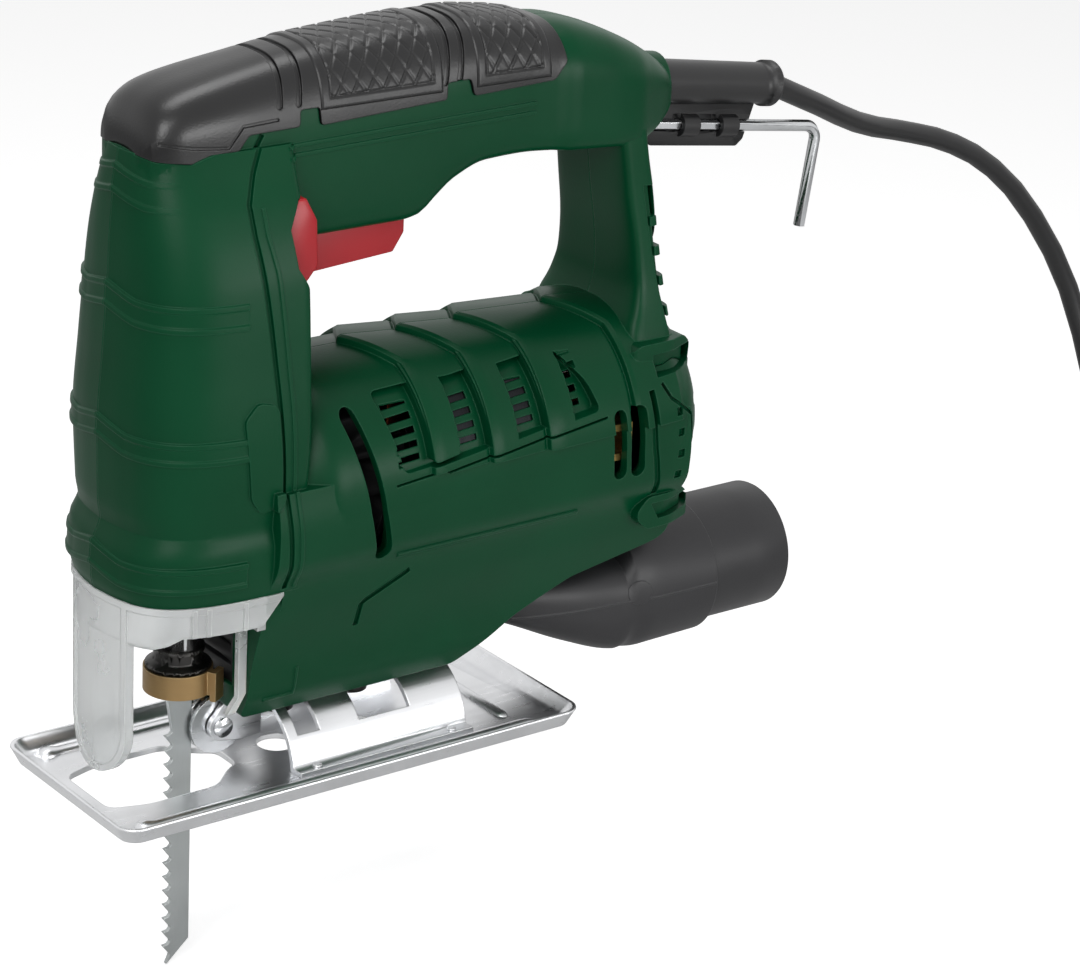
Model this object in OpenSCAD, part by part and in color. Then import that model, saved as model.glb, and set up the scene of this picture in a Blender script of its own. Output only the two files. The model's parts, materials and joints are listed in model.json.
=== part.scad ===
/* [Sole] */
// Length of the sole over its flared rim
sole_l = 140.5; // [134:0.5:170]
// Width of the sole over its flared rim
sole_w = 61.5; // [60:0.5:70]
// Sheet of the sole and its saddle
sole_t = 1.5; // [1:0.1:2]
// Height of the rim
rim_h = 5; // [3:0.5:6]
// Length of the blade opening
gap_l = 41; // [38:1:48]
// Width of the blade opening
gap_w = 27; // [22:1:30]
// Outer radius of the saddle that the housing tilts on
saddle_r = 18.3; // [17:0.1:20]
// Length of the saddle
saddle_l = 54; // [50:1:62]

/* [Blade and plunger] */
// Axis of the plunger and clamp
blade_x = -37; // [-39:0.5:-36]
// Length of the blade below the clamp
blade_l = 78; // [40:1:110]
// Distance from tooth to tooth
tooth_pitch = 4; // [2:0.1:5]
// Full stroke of the plunger
stroke = 18; // [12:0.5:18]
// Underside of the clamp at rest
clamp_z = 24.1; // [24:0.1:26]
// Radius of the plunger in its lower bush
plunger_r = 5.8; // [5:0.1:6]
// Radius of the plunger's stem in the upper bush
stem_r = 4; // [3:0.1:4.5]
// Radial clearance of bearings, bushes and pins that run
run_gap = 0.05; // [0.02:0.01:0.1]

/* [Drive] */
// Height of the motor axis
motor_z = 77.6; // [76:0.1:79]
// Module of the gear pair
gear_m = 0.7; // [0.65:0.01:0.72]
// Teeth on the motor pinion
pinion_n = 8; // [8:1:9]
// Teeth on the crank gear
gear_n = 56; // [52:1:57]

/* [Housing] */
// Radius of the motor barrel
barrel_r = 31; // [30:0.5:33]
// Wall of the housing shells
wall = 2.4; // [1.8:0.1:2.8]
// Half width of the handle
handle_b = 15.2; // [14:0.1:17]
// Thickness of the rubber grip
grip_t = 1.9; // [1.6:0.1:2.4]
// Underside of the gear case
case_z = 57; // [55:0.5:57]

/* [Dust port and guard] */
// Outer diameter of the dust tube
tube_d = 35; // [32:0.5:36]
// Wall of the dust adaptor
tube_t = 1.9; // [1.5:0.1:2.5]
// Wall of the clear guard
guard_t = 1.6; // [1.2:0.1:2]

/* [Cord] */
// Diameter of the mains cord
cord_d = 6; // [5:0.5:6.5]
// Length of the cord sleeve outside the housing
sleeve_l = 42; // [38:1:50]

/* [Hidden] */
$fn = 48;
eps = 0.01;
// Clearance of pieces that slide or turn past each other
slide_gap = 0.35;
// Clearance of pieces that are seated for good
seat_gap = 0.1;
// Ends of the saddle
saddle_x = [-13.4, -13.4 + saddle_l];

// ---------- shared helpers ----------
function spow(t, e) = sign(t) * pow(abs(t), e);
function mean(ring, k) = [for (q = ring) q[k]] * [for (q = ring) 1 / len(ring)];
// Superellipse of n points about (cx, cy), half sizes a and b; low is the power under the middle
function oval(cx, cy, a, b, p, n, low = 0) =
    [for (i = [0:n - 1]) let (t = 360 * i / n, e = 2 / (sin(t) < 0 && low > 0 ? low : p))
        [cx + a * spow(cos(t), e), cy + b * spow(sin(t), e)]];
function at_z(ring, z) = [for (q = ring) [q[0], q[1], z]];
function at_x(ring, x) = [for (q = ring) [x, q[0], q[1]]];

// Closed skin through rings of equal length, each end capped by a fan
module loft(rings) {
    n = len(rings[0]);
    m = len(rings);
    centres = [for (r = [rings[0], rings[m - 1]]) [for (k = [0:2]) mean(r, k)]];
    sides = [for (i = [0:m - 2], j = [0:n - 1])
        let (a = i * n + j, b = i * n + (j + 1) % n, c = b + n, d = a + n)
        each [[a, d, c], [a, c, b]]];
    floor_fan = [for (j = [0:n - 1]) [m * n, j, (j + 1) % n]];
    roof_fan = [for (j = [0:n - 1]) [m * n + 1, (m - 1) * n + (j + 1) % n, (m - 1) * n + j]];
    polyhedron([each [for (r = rings) each r], each centres],
               [each sides, each floor_fan, each roof_fan], convexity = 6);
}
// Cylinders along X, Y and Z, by their end stations
module bar_x(x0, x1, z, r) { translate([x0, 0, z]) rotate([0, 90, 0]) cylinder(h = x1 - x0, r = r); }
module bar_y(x, y0, y1, z, r) { translate([x, y0, z]) rotate([-90, 0, 0]) cylinder(h = y1 - y0, r = r); }
module bar_z(x, z0, z1, r) { translate([x, 0, z0]) cylinder(h = z1 - z0, r = r); }
module ring_x(x0, x1, z, r, bore) { difference() { bar_x(x0, x1, z, r); bar_x(x0 - 1, x1 + 1, z, bore); } }
module ring_z(x, z0, z1, r, bore) { difference() { bar_z(x, z0, z1, r); bar_z(x, z0 - 1, z1 + 1, bore); } }
// Outline in X and Z pushed along Y, and outline in Y and Z pushed along X
module side(y0, y1) { translate([0, y1, 0]) rotate([90, 0, 0]) linear_extrude(y1 - y0) children(); }
module across(x0, x1) { translate([x0, 0, 0]) rotate([90, 0, 90]) linear_extrude(x1 - x0) children(); }
module both_sides() { children(); mirror([0, 1, 0]) children(); }
// Outline with rounded corners, slot between two points, and strip along a line of points
module soft(r, n = 24) { offset(r, $fn = n) offset(-r, $fn = n) children(); }
module slot(p, q, r, n = 14) { hull() for (c = [p, q]) translate(c) circle(r, $fn = n); }
module strip(points, r) { for (i = [0:len(points) - 2]) slot(points[i], points[i + 1], r, 6); }

// ---------- housing form ----------
// Points round each section; the inside of the shells takes fewer
outer_n = 26;
inner_n = 14;
function ring_n(grow) = grow < -1.5 ? inner_n : outer_n;
// Rows of a form's table; the inside of the shells takes every other one, and both ends
function thinned(table, grow) = [for (i = [0:len(table) - 1])
    if (grow > -1.5 || i % 2 == 0 || i == len(table) - 1) table[i]];
case_x = -20;
// Gear case: height over its floor, nose, half width
case_table = [[0, -60.6, 26.2], [3, -61.4, 27.0], [10, -61.5, 28.2], [14, -60.7, 28.2], [18, -58.9, 27.0],
              [23, -59.6, 27.5], [42, -59.8, 28.9], [60, -58.6, 28.0], [79, -57.2, 26.6], [88, -56.8, 24.8],
              [97, -56.2, 22.0], [103, -55.6, 19.6], [111, -54.4, 16.6]];
case_rear = 5;
seam_nose = 0.9;
corner_y = 11;
function case_ring(nose, b, grow) =
    [for (q = oval(0, 0, 1, b + grow, 3.3, ring_n(grow)))
        [case_x + q[0] * (q[0] < 0 ? case_x - nose + grow : case_rear + grow)
            - (q[0] < 0 ? seam_nose * max(0, 1 - abs(q[1]) / corner_y) : 0), q[1]]];
module case_form(grow) {
    loft([for (row = thinned(case_table, grow)) at_z(case_ring(row[1], row[2], grow),
        case_z + row[0] - (row[0] == 0 ? min(grow, 0) : 0))]);
}
function case_at(h, k) = lookup(h, [for (row = case_table) [row[0], row[k]]]);

// Column between the gear case and the handle opening: height, rear edge, half width
column_table = [[95, -10.6, 26], [110, -10.2, 24], [125, -9.8, 21.3], [134, -8.8, 19.6],
                [141, -8.6, 18.4], [150, -8.8, 17.2], [168, -9.2, 15.2]];
column_front = -42;
module column_form(grow) {
    loft([for (row = thinned(column_table, grow)) let (half = (row[1] - column_front) / 2)
        at_z(oval(column_front + half, 0, half + grow, row[2] + grow, 3.4, ring_n(grow)), row[0])]);
}

// Handle: station, lower edge, upper edge, change of half width
handle_table = [[-54.4, 160, 169.5, -7.7], [-53.2, 157, 175.5, -4.2], [-50.5, 156, 179.3, -2.2],
                [-45, 155, 182, -0.6], [-36, 152, 184, 0], [-22, 146, 186.2, 0], [-10, 141.8, 188, 0],
                [18, 141.8, 190, 0], [23, 142.6, 190.2, 0], [27, 145.8, 190.4, 0], [33, 150.4, 190.4, 0],
                [43, 154, 190, 0], [54, 154.4, 188.6, 0], [64, 153.8, 186.6, 0.2], [68, 153.4, 186.4, 1.6],
                [80, 152.6, 183.4, 1.6], [90, 152, 179.2, 0.6], [96, 152.8, 176, -2.4],
                [101, 154.4, 172.8, -5], [105, 156.8, 169.8, -7.2], [106.6, 158, 168.2, -8.4]];
module handle_form(grow, hidden = false) {
    sparse = hidden ? -wall : grow;
    loft([for (row = thinned(handle_table, sparse)) let (b = handle_b + row[3] + grow)
        at_x(oval(0, (row[1] + row[2]) / 2, b, (row[2] - row[1]) / 2 + grow, 2.9, ring_n(sparse), 7), row[0])]);
}

// Rear strut: height, front edge, rear edge, half width
strut_table = [[92.6, 86, 103, 24], [98, 85, 102.4, 23.2], [104, 85.6, 101.4, 21.6], [110, 88.2, 100.6, 19.8],
               [117, 89.6, 99.7, 18.2], [125, 89.2, 98.7, 17.2], [140, 86.7, 96.6, 16], [150, 85.2, 94.6, 15.6],
               [166.4, 82.4, 92.4, 14.6]];
module strut_form(grow) {
    loft([for (row = thinned(strut_table, grow)) at_z(oval((row[1] + row[2]) / 2, 0,
        (row[2] - row[1]) / 2 + grow, row[3] + grow, 6, ring_n(grow)), row[0])]);
}

// Motor barrel: a turned form about the motor axis
barrel_x0 = -18;
barrel_x1 = 108.6;
module about_motor() { translate([0, 0, motor_z]) rotate([0, 90, 0]) children(); }
module barrel_form(grow) {
    about_motor() rotate_extrude($fn = grow < -1.5 ? 32 : 44)
        polygon([[0, barrel_x0 - grow], [barrel_r - 5 + grow, barrel_x0 - grow], [barrel_r + grow, -8],
                 [barrel_r + grow, 97.4], [barrel_r - 1.5 + grow, 101.3], [barrel_r - 5 + grow, 105.7],
                 [barrel_r - 10 + grow, barrel_x1 + grow], [0, barrel_x1 + grow]]);
}
// Scale on the barrel's back: its front edge sweeps rearward from the ridge to the flank
scale_rise = 1.6;
scale_sweep = 9;
module barrel_scale(x0, x1) {
    function lag(t) = scale_sweep * min(1, abs(t > 180 ? t - 360 : t) / 28);
    function hoop(x, r, bend) = [for (i = [0:outer_n - 1]) let (t = 360 * i / outer_n)
        [x + bend * lag(t), -r * sin(t), motor_z + r * cos(t)]];
    intersection() {
        loft([hoop(x0, barrel_r - 0.4, 1), hoop(x0 + 1.8, barrel_r + scale_rise, 1),
              hoop(x1 - 2, barrel_r + 0.5, 1), hoop(x1, barrel_r - 0.4, 1)]);
        translate([x0 - 2, -50, motor_z + 4]) cube([x1 - x0 + 14, 100, 50]);
    }
}

// Lower body: a narrow foot over the sole, widening to the barrel
foot_z = saddle_r + 0.5;
foot_b = 14;
foot_front = -27.3;
module lower_section(grow) {
    offset(delta = grow) polygon([[-foot_b, foot_z], [foot_b, foot_z], [17.2, 25.2], [19, 34],
        [23.8, 49], [26.4, 58], [30.4, 66], [30.9, 73], [29.4, 84], [-29.4, 84], [-30.9, 73], [-30.4, 66],
        [-26.4, 58], [-23.8, 49], [-19, 34], [-17.2, 25.2]]);
}
slope = [[38, foot_z], [54, 30.2], [71, 38.6], [97, 44.4]];
module lower_form(grow) {
    intersection() {
        across(-30, 114) lower_section(grow);
        side(-40, 40) offset(delta = grow) soft(2, 8) polygon([[foot_front, 90], [foot_front, foot_z],
            each slope, [100, 46], [101, 49], [101, 90]]);
    }
}

// Rear frame with an upper and a lower bumper
bumper_z = [[91, 101.9], [51.4, 60.4]];
bumper_b = [25.6, 28.8];
bumper_front = [82.5, 86];
module rear_plan(b) {
    half = [[84, b], [97, b - 0.2], [106, b - 4], [110.6, b - 12.8]];
    polygon([each [for (q = half) [q[0], -q[1]]], [111.6, 0], each [for (i = [3:-1:0]) [half[i][0], half[i][1]]]]);
}
module bumper(z, front) {
    side(-40, 40) soft(1.4, 8) polygon([[front, z[0] + 3], [front + 3.4, z[0]], [118, z[0]],
        [118, z[1] - 9], [108, z[1] - 5], [102.4, z[1]],
                                     [front + 3.4, z[1]], [front, z[1] - 3.4]]);
}
module rear_form(grow) {
    for (k = [0, 1]) intersection() {
        linear_extrude(200) offset(delta = grow) rear_plan(bumper_b[k]);
        bumper([bumper_z[k][0] - grow, bumper_z[k][1] + grow], bumper_front[k] - grow);
    }
}

module body_form(grow) {
    case_form(grow);
    column_form(grow);
    handle_form(grow);
    strut_form(grow);
    barrel_form(grow);
    lower_form(grow);
    rear_form(grow);
}
// Raises or sinks the skin inside an outline pushed through the body
module raised(rise) { intersection() { children(); body_form(rise); } }
module sunk(depth) { difference() { children(); body_form(-depth); } }

// ---------- relief of the housing ----------
// Chevron strips round the gear case: height of the upper edge at the seam, and width
band_rise = 0.7;
bands = [[13.4, 6.6], [45.7, 5.6], [79, 6.2], [107.6, 6.8]];
corner_dip = 2.4;
module case_band(top, wide) {
    function hoop(h, grow) = [for (q = case_ring(case_at(h, 1), case_at(h, 2), grow))
        [q[0], q[1], case_z + h - corner_dip * min(1, abs(q[1]) / corner_y)]];
    intersection() {
        loft([hoop(top - wide - 0.8, -1), hoop(top - wide, band_rise), hoop(top, band_rise),
              hoop(top + 0.8, -1)]);
        translate([-70, -40, 0]) cube([70 - 37, 80, 200]);
    }
}

// Vent field on the barrel's flank, with louvre slots between the straps
strap_x = [19, 37, 55];
louvre_x = [8.2, 26, 44, 62];
louvre_pitch = 3.1;
module vent_field() { soft(1.5, 8) polygon([[5, 102], [9.4, 83], [70.5, 88.6], [68, 96], [62, 103.5]]); }
module strap(x) { polygon([[x - 2.2, 107], [x + 6.4, 107.6], [x + 6.6, 86], [x - 1.4, 85]]); }
module louvres() {
    for (i = [0:3], k = [0:5]) let (z = 84.8 + louvre_x[i] * 0.09 + k * louvre_pitch)
        translate([louvre_x[i] - 0.6, z - 0.8]) rotate(4) square([i == 3 ? 5 : 7.8, 1.6]);
}
module side_slots() {
    slot([-3.6, 98], [4.4, 63], 2.3, 12);
    slot([76.6, 85.6], [77.6, 70.6], 2.1, 10);
    slot([82.4, 86], [83.4, 70.6], 2.3, 10);
}
module side_relief() {
    for (x = strap_x) raised(0.9) side(-34, -6) strap(x);
    raised(0.7) side(-34, -6) soft(2, 8) polygon([[-37, 105], [-33.4, 109], [-28.6, 108], [-26.6, 104],
        [-25.4, 84], [-27.4, 80.6], [-31.6, 80], [-34.4, 84]]);
    raised(0.5) side(-34, -6) slot([9.6, 60.4], [66, 60.8], 0.6, 6);
    raised(0.5) side(-34, -6) slot([-18, 165.2], [56, 166.6], 0.6, 6);
}
module side_cuts() {
    sunk(1) side(-45, -6) strip([[-25, 171], [-32, 156], [-31.8, 149], [-27.3, 110.5], [-24, 71],
        [-23.2, 58]], 0.8);
    sunk(2) side(-45, -14) difference() {
        vent_field();
        for (x = strap_x) offset(delta = seat_gap) strap(x);
    }
    side(-45, -20) louvres();
    side(-45, -18) side_slots();
    sunk(1.2) side(-45, -10) polygon([[91, 143], [95.4, 142.4], [103.2, 101], [98.6, 101]]);
    sunk(3) side(-45, -12) polygon([[90.6, 98.8], [106, 99.2], [107, 93.8], [90.4, 93.4]]);
    sunk(3) side(-45, -12) polygon([[90.4, 58.4], [107, 58.6], [107, 54.2], [93, 53.8]]);
    sunk(1.4) side(-45, -12) strip([[89.4, 92], [90.2, 76], [92.6, 61]], 1);
}

// Bosses that take the housing screws, as X and Z, and the seat of each head
screw_at = [[-47, 160, 11], [-22, 128, 12], [44, 163, 9], [76, 166, 10], [97, 122, 9], [101, 55, 18],
            [30, 32, 13], [-16.5, 34, 13]];
screw_r = 1.7;
boss_r = 3.6;
screw_reach = 8;

// Openings that the trigger, lock button, cord sleeve, plunger and dust duct need
trigger_x = [-8.4, 22.6];
trigger_b = 7.6;
held_b = 8;
module lock_outline(grow) {
    offset(delta = grow) polygon([[-21.4, 149], [-18, 155.4], [-15.6, 155.4], [-12.4, 149.6],
        [-11.8, 138], [-14.8, 134.4], [-17, 134.4], [-20.4, 140]]);
}
sleeve_at = [104.6, 0, 164.2];
sleeve_tilt = 7.8;
sleeve_r = 6;
module at_sleeve() { translate(sleeve_at) rotate([0, sleeve_tilt, 0]) children(); }
// Cylinder along the cord's exit line
module bar_u(u0, u1, r) { at_sleeve() translate([u0, 0, 0]) rotate([0, 90, 0]) cylinder(h = u1 - u0, r = r); }

// Duct mouth in the sloping rear of the foot: half width, and heights
duct_b = 8;
duct_z = [24.6, 31.4];

// Recess for the chip deflector in the front of the foot
deflector_b = 10;
deflector_z = [26.4, 53.6];
deflector_x = [-26.4, -23.4];

module shell_openings() {
    difference() {
        body_form(-wall);
        for (p = screw_at) bar_y(p[0], -40, 40, p[1], boss_r, $fn = 8);
        // Walls that hold the rear bearing and the boss of the gear frame
        translate([rear_brg_x + 1, -40, 40]) cube([2.4, 80, 60]);
        translate([frame_x[1] + 2 * seat_gap, -40, 54.3]) cube([2.2, 80, 53]);
        // Ribs that hold the switch and the cord clamp
        both_sides() for (r = [[1, 1.6], [18, 1.6], [clamp_x[0] + 2, 3]])
            translate([r[0], held_b + seat_gap, 157]) cube([r[1], 30, r[1] > 2 ? 7 : 12]);
    }
    // Room for the gear pair and its frame
    across(-26, frame_x[1] + 2 * seat_gap) hull() {
        translate([0, motor_z]) circle(16.4, $fn = 32);
        translate([0, gear_z]) circle(14.4, $fn = 32);
    }
    bar_x(-26, frame_x[0] - 1.2, gear_z, 21.2, $fn = 32);
    bar_x(-17, -5, motor_z, brg_boss_r + seat_gap, $fn = 32);
    translate([-26, -10.4, 59.7]) cube([26 + frame_x[1] + 2 * seat_gap, 20.8, 16]);
    translate([-20, -5.9, 101]) cube([20 + frame_x[1] + 2 * seat_gap, 11.8, 47]);
    for (p = screw_at) {
        bar_y(p[0], -screw_reach, 40, p[1], screw_r + 1.5 * seat_gap, $fn = 12);
        bar_y(p[0], p[2], 40, p[1], screw_r * 2 + seat_gap, $fn = 10);
    }
    bar_x(rear_brg_x - 1, rear_brg_x + bearing_w + seat_gap, motor_z, bearing_r + seat_gap);
    side(-trigger_b - slide_gap, trigger_b + slide_gap) translate([trigger_x[0] - slide_gap, 138])
        square([trigger_x[1] - trigger_x[0] + 2 * slide_gap, 12]);
    side(-40, -8) lock_outline(slide_gap);
    bar_u(-16, 10, sleeve_r + seat_gap, $fn = 24);
    bar_u(-flange_u[0] - seat_gap, -flange_u[1] + seat_gap, sleeve_flange + seat_gap, $fn = 24);
    bar_z(blade_x, case_z - 6, case_z + 8, nose_r + seat_gap, $fn = 32);
    translate([slope[0][0] + 2, -duct_b - seat_gap, duct_z[0] - seat_gap])
        cube([20, 2 * (duct_b + seat_gap), duct_z[1] - duct_z[0] + 2 * seat_gap]);
    translate([-40, -deflector_b - seat_gap, deflector_z[0] - seat_gap])
        cube([deflector_x[1] + seat_gap + 40, 2 * (deflector_b + seat_gap),
              deflector_z[1] - deflector_z[0] + 2 * seat_gap]);
    // Seat of the guard's wings
    both_sides() translate([-40, case_table[0][2] - guard_t - 2 * seat_gap, case_z - guard_drop[0] - 1])
        cube([40 + wing_x + 2 * seat_gap, 9, guard_drop[0] + 1]);
    // Notch over the guide roller and holes for the saddle screws
    translate([roller_x - 9, -roller_b - slide_gap - 0.4, foot_z - 2])
        cube([9 + roller_r + 0.6, 2 * (roller_b + slide_gap + 0.4), roller_z + roller_r + 0.6 - foot_z + 2]);
    for (x = screw_x) bar_z(x, foot_z - 2, foot_z + wall + 1, clamp_screw_r + seat_gap, $fn = 24);
    both_sides() side_cuts();
}

module housing() {
    difference() {
        union() {
            body_form(0);
            for (b = bands) case_band(b[0], b[1]);
            barrel_scale(8, 27);
            barrel_scale(26, 45);
            barrel_scale(44, 73);
            barrel_scale(72, 90);
            both_sides() side_relief();
            // Collar round the cord sleeve
            bar_u(-7, 0.6, sleeve_r + 1.9, $fn = 24);
        }
        grip_form();
        shell_openings();
    }
}
module half(sign_y) {
    intersection() {
        housing();
        translate([-100, sign_y > 0 ? 0 : -100, 0]) cube([300, 100, 220]);
    }
}
module left_shell() { color("darkgreen") half(-1); }
module right_shell() { color("darkgreen") half(1); }

// ---------- rubber grip ----------
grip_sunk = 1.2;
module grip_side() {
    soft(0.8, 6) polygon([[-70, 172.6], [-52.5, 167.2], [-34, 165.2], [-29, 171.4], [-14.6, 171.6],
        [-14.4, 175.6], [-8.8, 175.6], [-8.4, 171.2], [28.2, 172.8], [28.4, 177], [35.4, 177.2],
        [36.6, 172.8], [61.2, 173.8], [65, 178], [62, 200], [-70, 200]]);
}
module grip_form() {
    intersection() {
        difference() {
            handle_form(grip_t - grip_sunk);
            handle_form(-grip_sunk, true);
        }
        side(-40, 40) grip_side();
    }
}
// Stations of the grooves that cross the top of the grip
grip_grooves = [-18, -13, 30, 33.6];
groove_depth = 0.6;
module handle_grip() {
    color("dimgray") difference() {
        grip_form();
        for (x = grip_grooves) difference() {
            side(-40, 40) slot([x - 2, 177], [x + 2, 200], 0.8, 6);
            handle_form(grip_t - grip_sunk - groove_depth);
        }
        // Fine groove round each knurled pad
        both_sides() difference() {
            side(-40, -8) for (x = pad_x) strip([[x[0] + 2, 190], [x[0], 181], [x[0] + 1.6, 174.2],
                [x[1] - 1.6, 175.4], [x[1], 181], [x[1] - 2, 190]], 0.45);
            handle_form(grip_t - grip_sunk - groove_depth);
        }
    }
}
// Ends of the knurled pads on each flank of the grip
pad_x = [[-8.6, 27], [37, 60]];

// ---------- screws of the housing ----------
module housing_screws() {
    color("silver") for (p = screw_at) {
        bar_y(p[0], -screw_reach + 0.5, p[2] + eps, p[1], screw_r);
        difference() {
            bar_y(p[0], p[2], p[2] + 2.4, p[1], screw_r * 1.9);
            translate([p[0] - screw_r, p[2] + 1.2, p[1] - 0.4]) cube([2 * screw_r, 3, 0.8]);
            translate([p[0] - 0.4, p[2] + 1.2, p[1] - screw_r]) cube([0.8, 3, 2 * screw_r]);
        }
    }
}

// ---------- controls ----------
trigger_z = 131;
trigger_top = 149.4;
trigger_travel = 4.5;
switch_z = trigger_top + trigger_travel + 1.8;
module trigger() {
    color("firebrick") difference() {
        side(-trigger_b, trigger_b) soft(1) polygon([[trigger_x[0], trigger_z], [trigger_x[0], trigger_top],
            [trigger_x[1], trigger_top], [trigger_x[1], trigger_z + 6.6], [trigger_x[1] - 3.2, trigger_z + 1.8]]);
        // Hollow of the moulding
        side(-trigger_b + 1.6, trigger_b - 1.6) translate([trigger_x[0] + 2, trigger_z + 8])
            square([trigger_x[1] - trigger_x[0] - 4, 20]);
    }
}
button_face = -20.9;
button_travel = 3;
module lock_button() {
    color("red") {
        side(button_face, -12) lock_outline(0);
        side(-12 - eps, -9.5) lock_outline(-1.2);
    }
}
module switch_unit() {
    color("black") {
        side(-held_b, held_b) soft(0.8) polygon([[-4, switch_z], [26, switch_z], [26, 171], [-4, 171]]);
        side(-2, 2) translate([5, switch_z - 1.3]) square([8, 1.4]);
    }
}

// ---------- cord exit ----------
flange_u = [8, 5.4];
sleeve_flange = 7.6;
sleeve_taper = 0.5;
module cord_sleeve() {
    color("dimgray") at_sleeve() rotate([0, 90, 0]) rotate_extrude()
        polygon([[cord_d / 2, -flange_u[0]], [sleeve_flange, -flange_u[0]], [sleeve_flange, -flange_u[1]],
            [sleeve_r, -flange_u[1]], [sleeve_r, 0], [sleeve_r - sleeve_taper, sleeve_l - 3],
            [sleeve_r + 0.2, sleeve_l - 3], [sleeve_r + 0.2, sleeve_l - 0.6], [sleeve_r - 0.2, sleeve_l],
            [cord_d / 2, sleeve_l]]);
}
clamp_x = [84, 91];
module cord_clamp() {
    color("black") difference() {
        side(-held_b, held_b) translate([clamp_x[0], 157.4]) square([clamp_x[1] - clamp_x[0], 7]);
        bar_u(-30, -8, cord_d / 2);
    }
}
// Clip plate under the sleeve, in the sleeve's own axes
clip_u = [0.6, 34];
clip_b = 1.8;
clip_foot = -16.8;
key_w = -11.2;
key_af = 2.8;
key_r = key_af / 2 / cos(30);
hook_u = [[11, 16.4], [24.4, 30]];
hook_b = 1.4;
function sleeve_at_u(u) = sleeve_r - sleeve_taper * max(0, u) / (sleeve_l - 3);
module along_key(u0, u1, r) {
    translate([u0, -hook_b, key_w]) rotate([0, 90, 0]) cylinder(h = u1 - u0, r = r);
}
module key_clip() {
    color("dimgray") at_sleeve() difference() {
        union() {
            side(-clip_b, clip_b) soft(1) polygon([[clip_u[0], -9], [clip_u[0] + 2.4, -8.2],
                [clip_u[0] + 2.4, -3], [clip_u[1] + 2.4, -3],
                [clip_u[1] + 1.4, -8], [clip_u[1], clip_foot + 2], [clip_u[1] - 2, clip_foot],
                [clip_u[0] + 1.4, clip_foot], [clip_u[0], clip_foot + 1.8]]);
            for (h = hook_u) along_key(h[0], h[1], key_r + 1.5);
        }
        along_key(-30, 60, key_r + 0.1);
        rotate([0, 90, 0]) rotate_extrude() polygon([[0, 0], [sleeve_at_u(0) + 0.02, 0],
            [sleeve_at_u(sleeve_l - 3) + 0.02, sleeve_l - 3], [0, sleeve_l - 3]]);
        // Windows beside the hooks
        for (h = hook_u) translate([h[0] - 2.6, -4, key_w - 2]) cube([2.2, 8, 5]);
    }
}
key_u = 1.4;
key_reach = 59;
key_bend = 4;
key_leg = 24;
module hex_key() {
    color("silver") at_sleeve() translate([key_u, -hook_b, key_w]) {
        rotate([0, 90, 0]) linear_extrude(key_reach - key_bend) circle(key_r, $fn = 6);
        translate([key_reach - key_bend, 0, -key_bend]) rotate([90, 0, 0]) rotate_extrude(angle = 90)
            translate([key_bend, 0]) circle(key_r, $fn = 6);
        translate([key_reach, 0, -key_bend - key_leg]) linear_extrude(key_leg) circle(key_r, $fn = 6);
    }
}

// ---------- motor ----------
stack_x = [20, 62];
shaft_r = 3;
bearing_r = 9.5;
bearing_w = 6;
air_gap = 0.6;
stator_r = barrel_r - wall - 2 * seat_gap;
// Depth of yoke and pole round the rotor
pole_depth = 13.4;
rotor_r = stator_r - pole_depth;
module motor_stator() {
    color("slategray") across(stack_x[0], stack_x[1]) translate([0, motor_z]) difference() {
        circle(stator_r, $fn = 72);
        circle(rotor_r + air_gap, $fn = 72);
        for (s = [0, 180]) rotate(s) difference() {
            intersection() { circle(stator_r - 4, $fn = 72); translate([-30, rotor_r - 9]) square([60, 30]); }
            translate([-7, 0]) square([14, 30]);
            circle(rotor_r + air_gap + 2.5, $fn = 72);
        }
    }
}
module field_coils() {
    color("peru") for (s = [-1, 1]) across(stack_x[0] - 6, stack_x[1] + 6) translate([0, motor_z])
        mirror([0, s > 0 ? 0 : 1]) difference() {
            intersection() {
                circle(stator_r - 4.3, $fn = 72);
                translate([-rotor_r, rotor_r - 4]) square([2 * rotor_r, 9.4]);
            }
            circle(rotor_r + air_gap + 2.9, $fn = 72);
            translate([-7.3, 0]) square([14.6, 23]);
        }
}
comm_r = 9;
comm_x = [stack_x[1] + 8, 83.6];
brush_w = [4.8, 11, 6];
module brush_holders() {
    color("goldenrod") both_sides() difference() {
        translate([comm_x[1] - 9.4, comm_r + 1, motor_z - 5])
            cube([8.8, sqrt(pow(stator_r, 2) - 25) - comm_r - 1, 10]);
        translate([comm_x[1] - 7.4 - seat_gap, comm_r, motor_z - brush_w[2] / 2 - seat_gap])
            cube([brush_w[0] + 2 * seat_gap, stator_r, brush_w[2] + 2 * seat_gap]);
    }
}
module carbon_brushes() {
    color("black") both_sides() translate([comm_x[1] - 7.4, comm_r + 0.3, motor_z - brush_w[2] / 2])
        cube(brush_w);
}
module ball_bearing(x) {
    ring_x(x, x + bearing_w, motor_z, bearing_r, bearing_r - 2);
    ring_x(x, x + bearing_w, motor_z, shaft_r + 2 + run_gap, shaft_r + run_gap);
    ring_x(x + 0.8, x + bearing_w - 0.8, motor_z, bearing_r - 2, shaft_r + 2 + run_gap);
}
front_brg_x = -16;
rear_brg_x = 85.6;
module front_bearing() { color("lightgray") ball_bearing(front_brg_x); }
module rear_bearing() { color("lightgray") ball_bearing(rear_brg_x); }
module armature_core() {
    color("dimgray") across(stack_x[0], stack_x[1]) translate([0, motor_z]) difference() {
        circle(rotor_r);
        for (k = [0:11]) rotate(30 * k) translate([rotor_r - 3.6, -0.9]) square([4, 1.8]);
        circle(shaft_r);
    }
    color("peru") ring_x(stack_x[0] - 6, stack_x[0], motor_z, rotor_r - 2.6, shaft_r);
    color("peru") ring_x(stack_x[1], comm_x[0], motor_z, rotor_r - 2.6, shaft_r);
}
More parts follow.
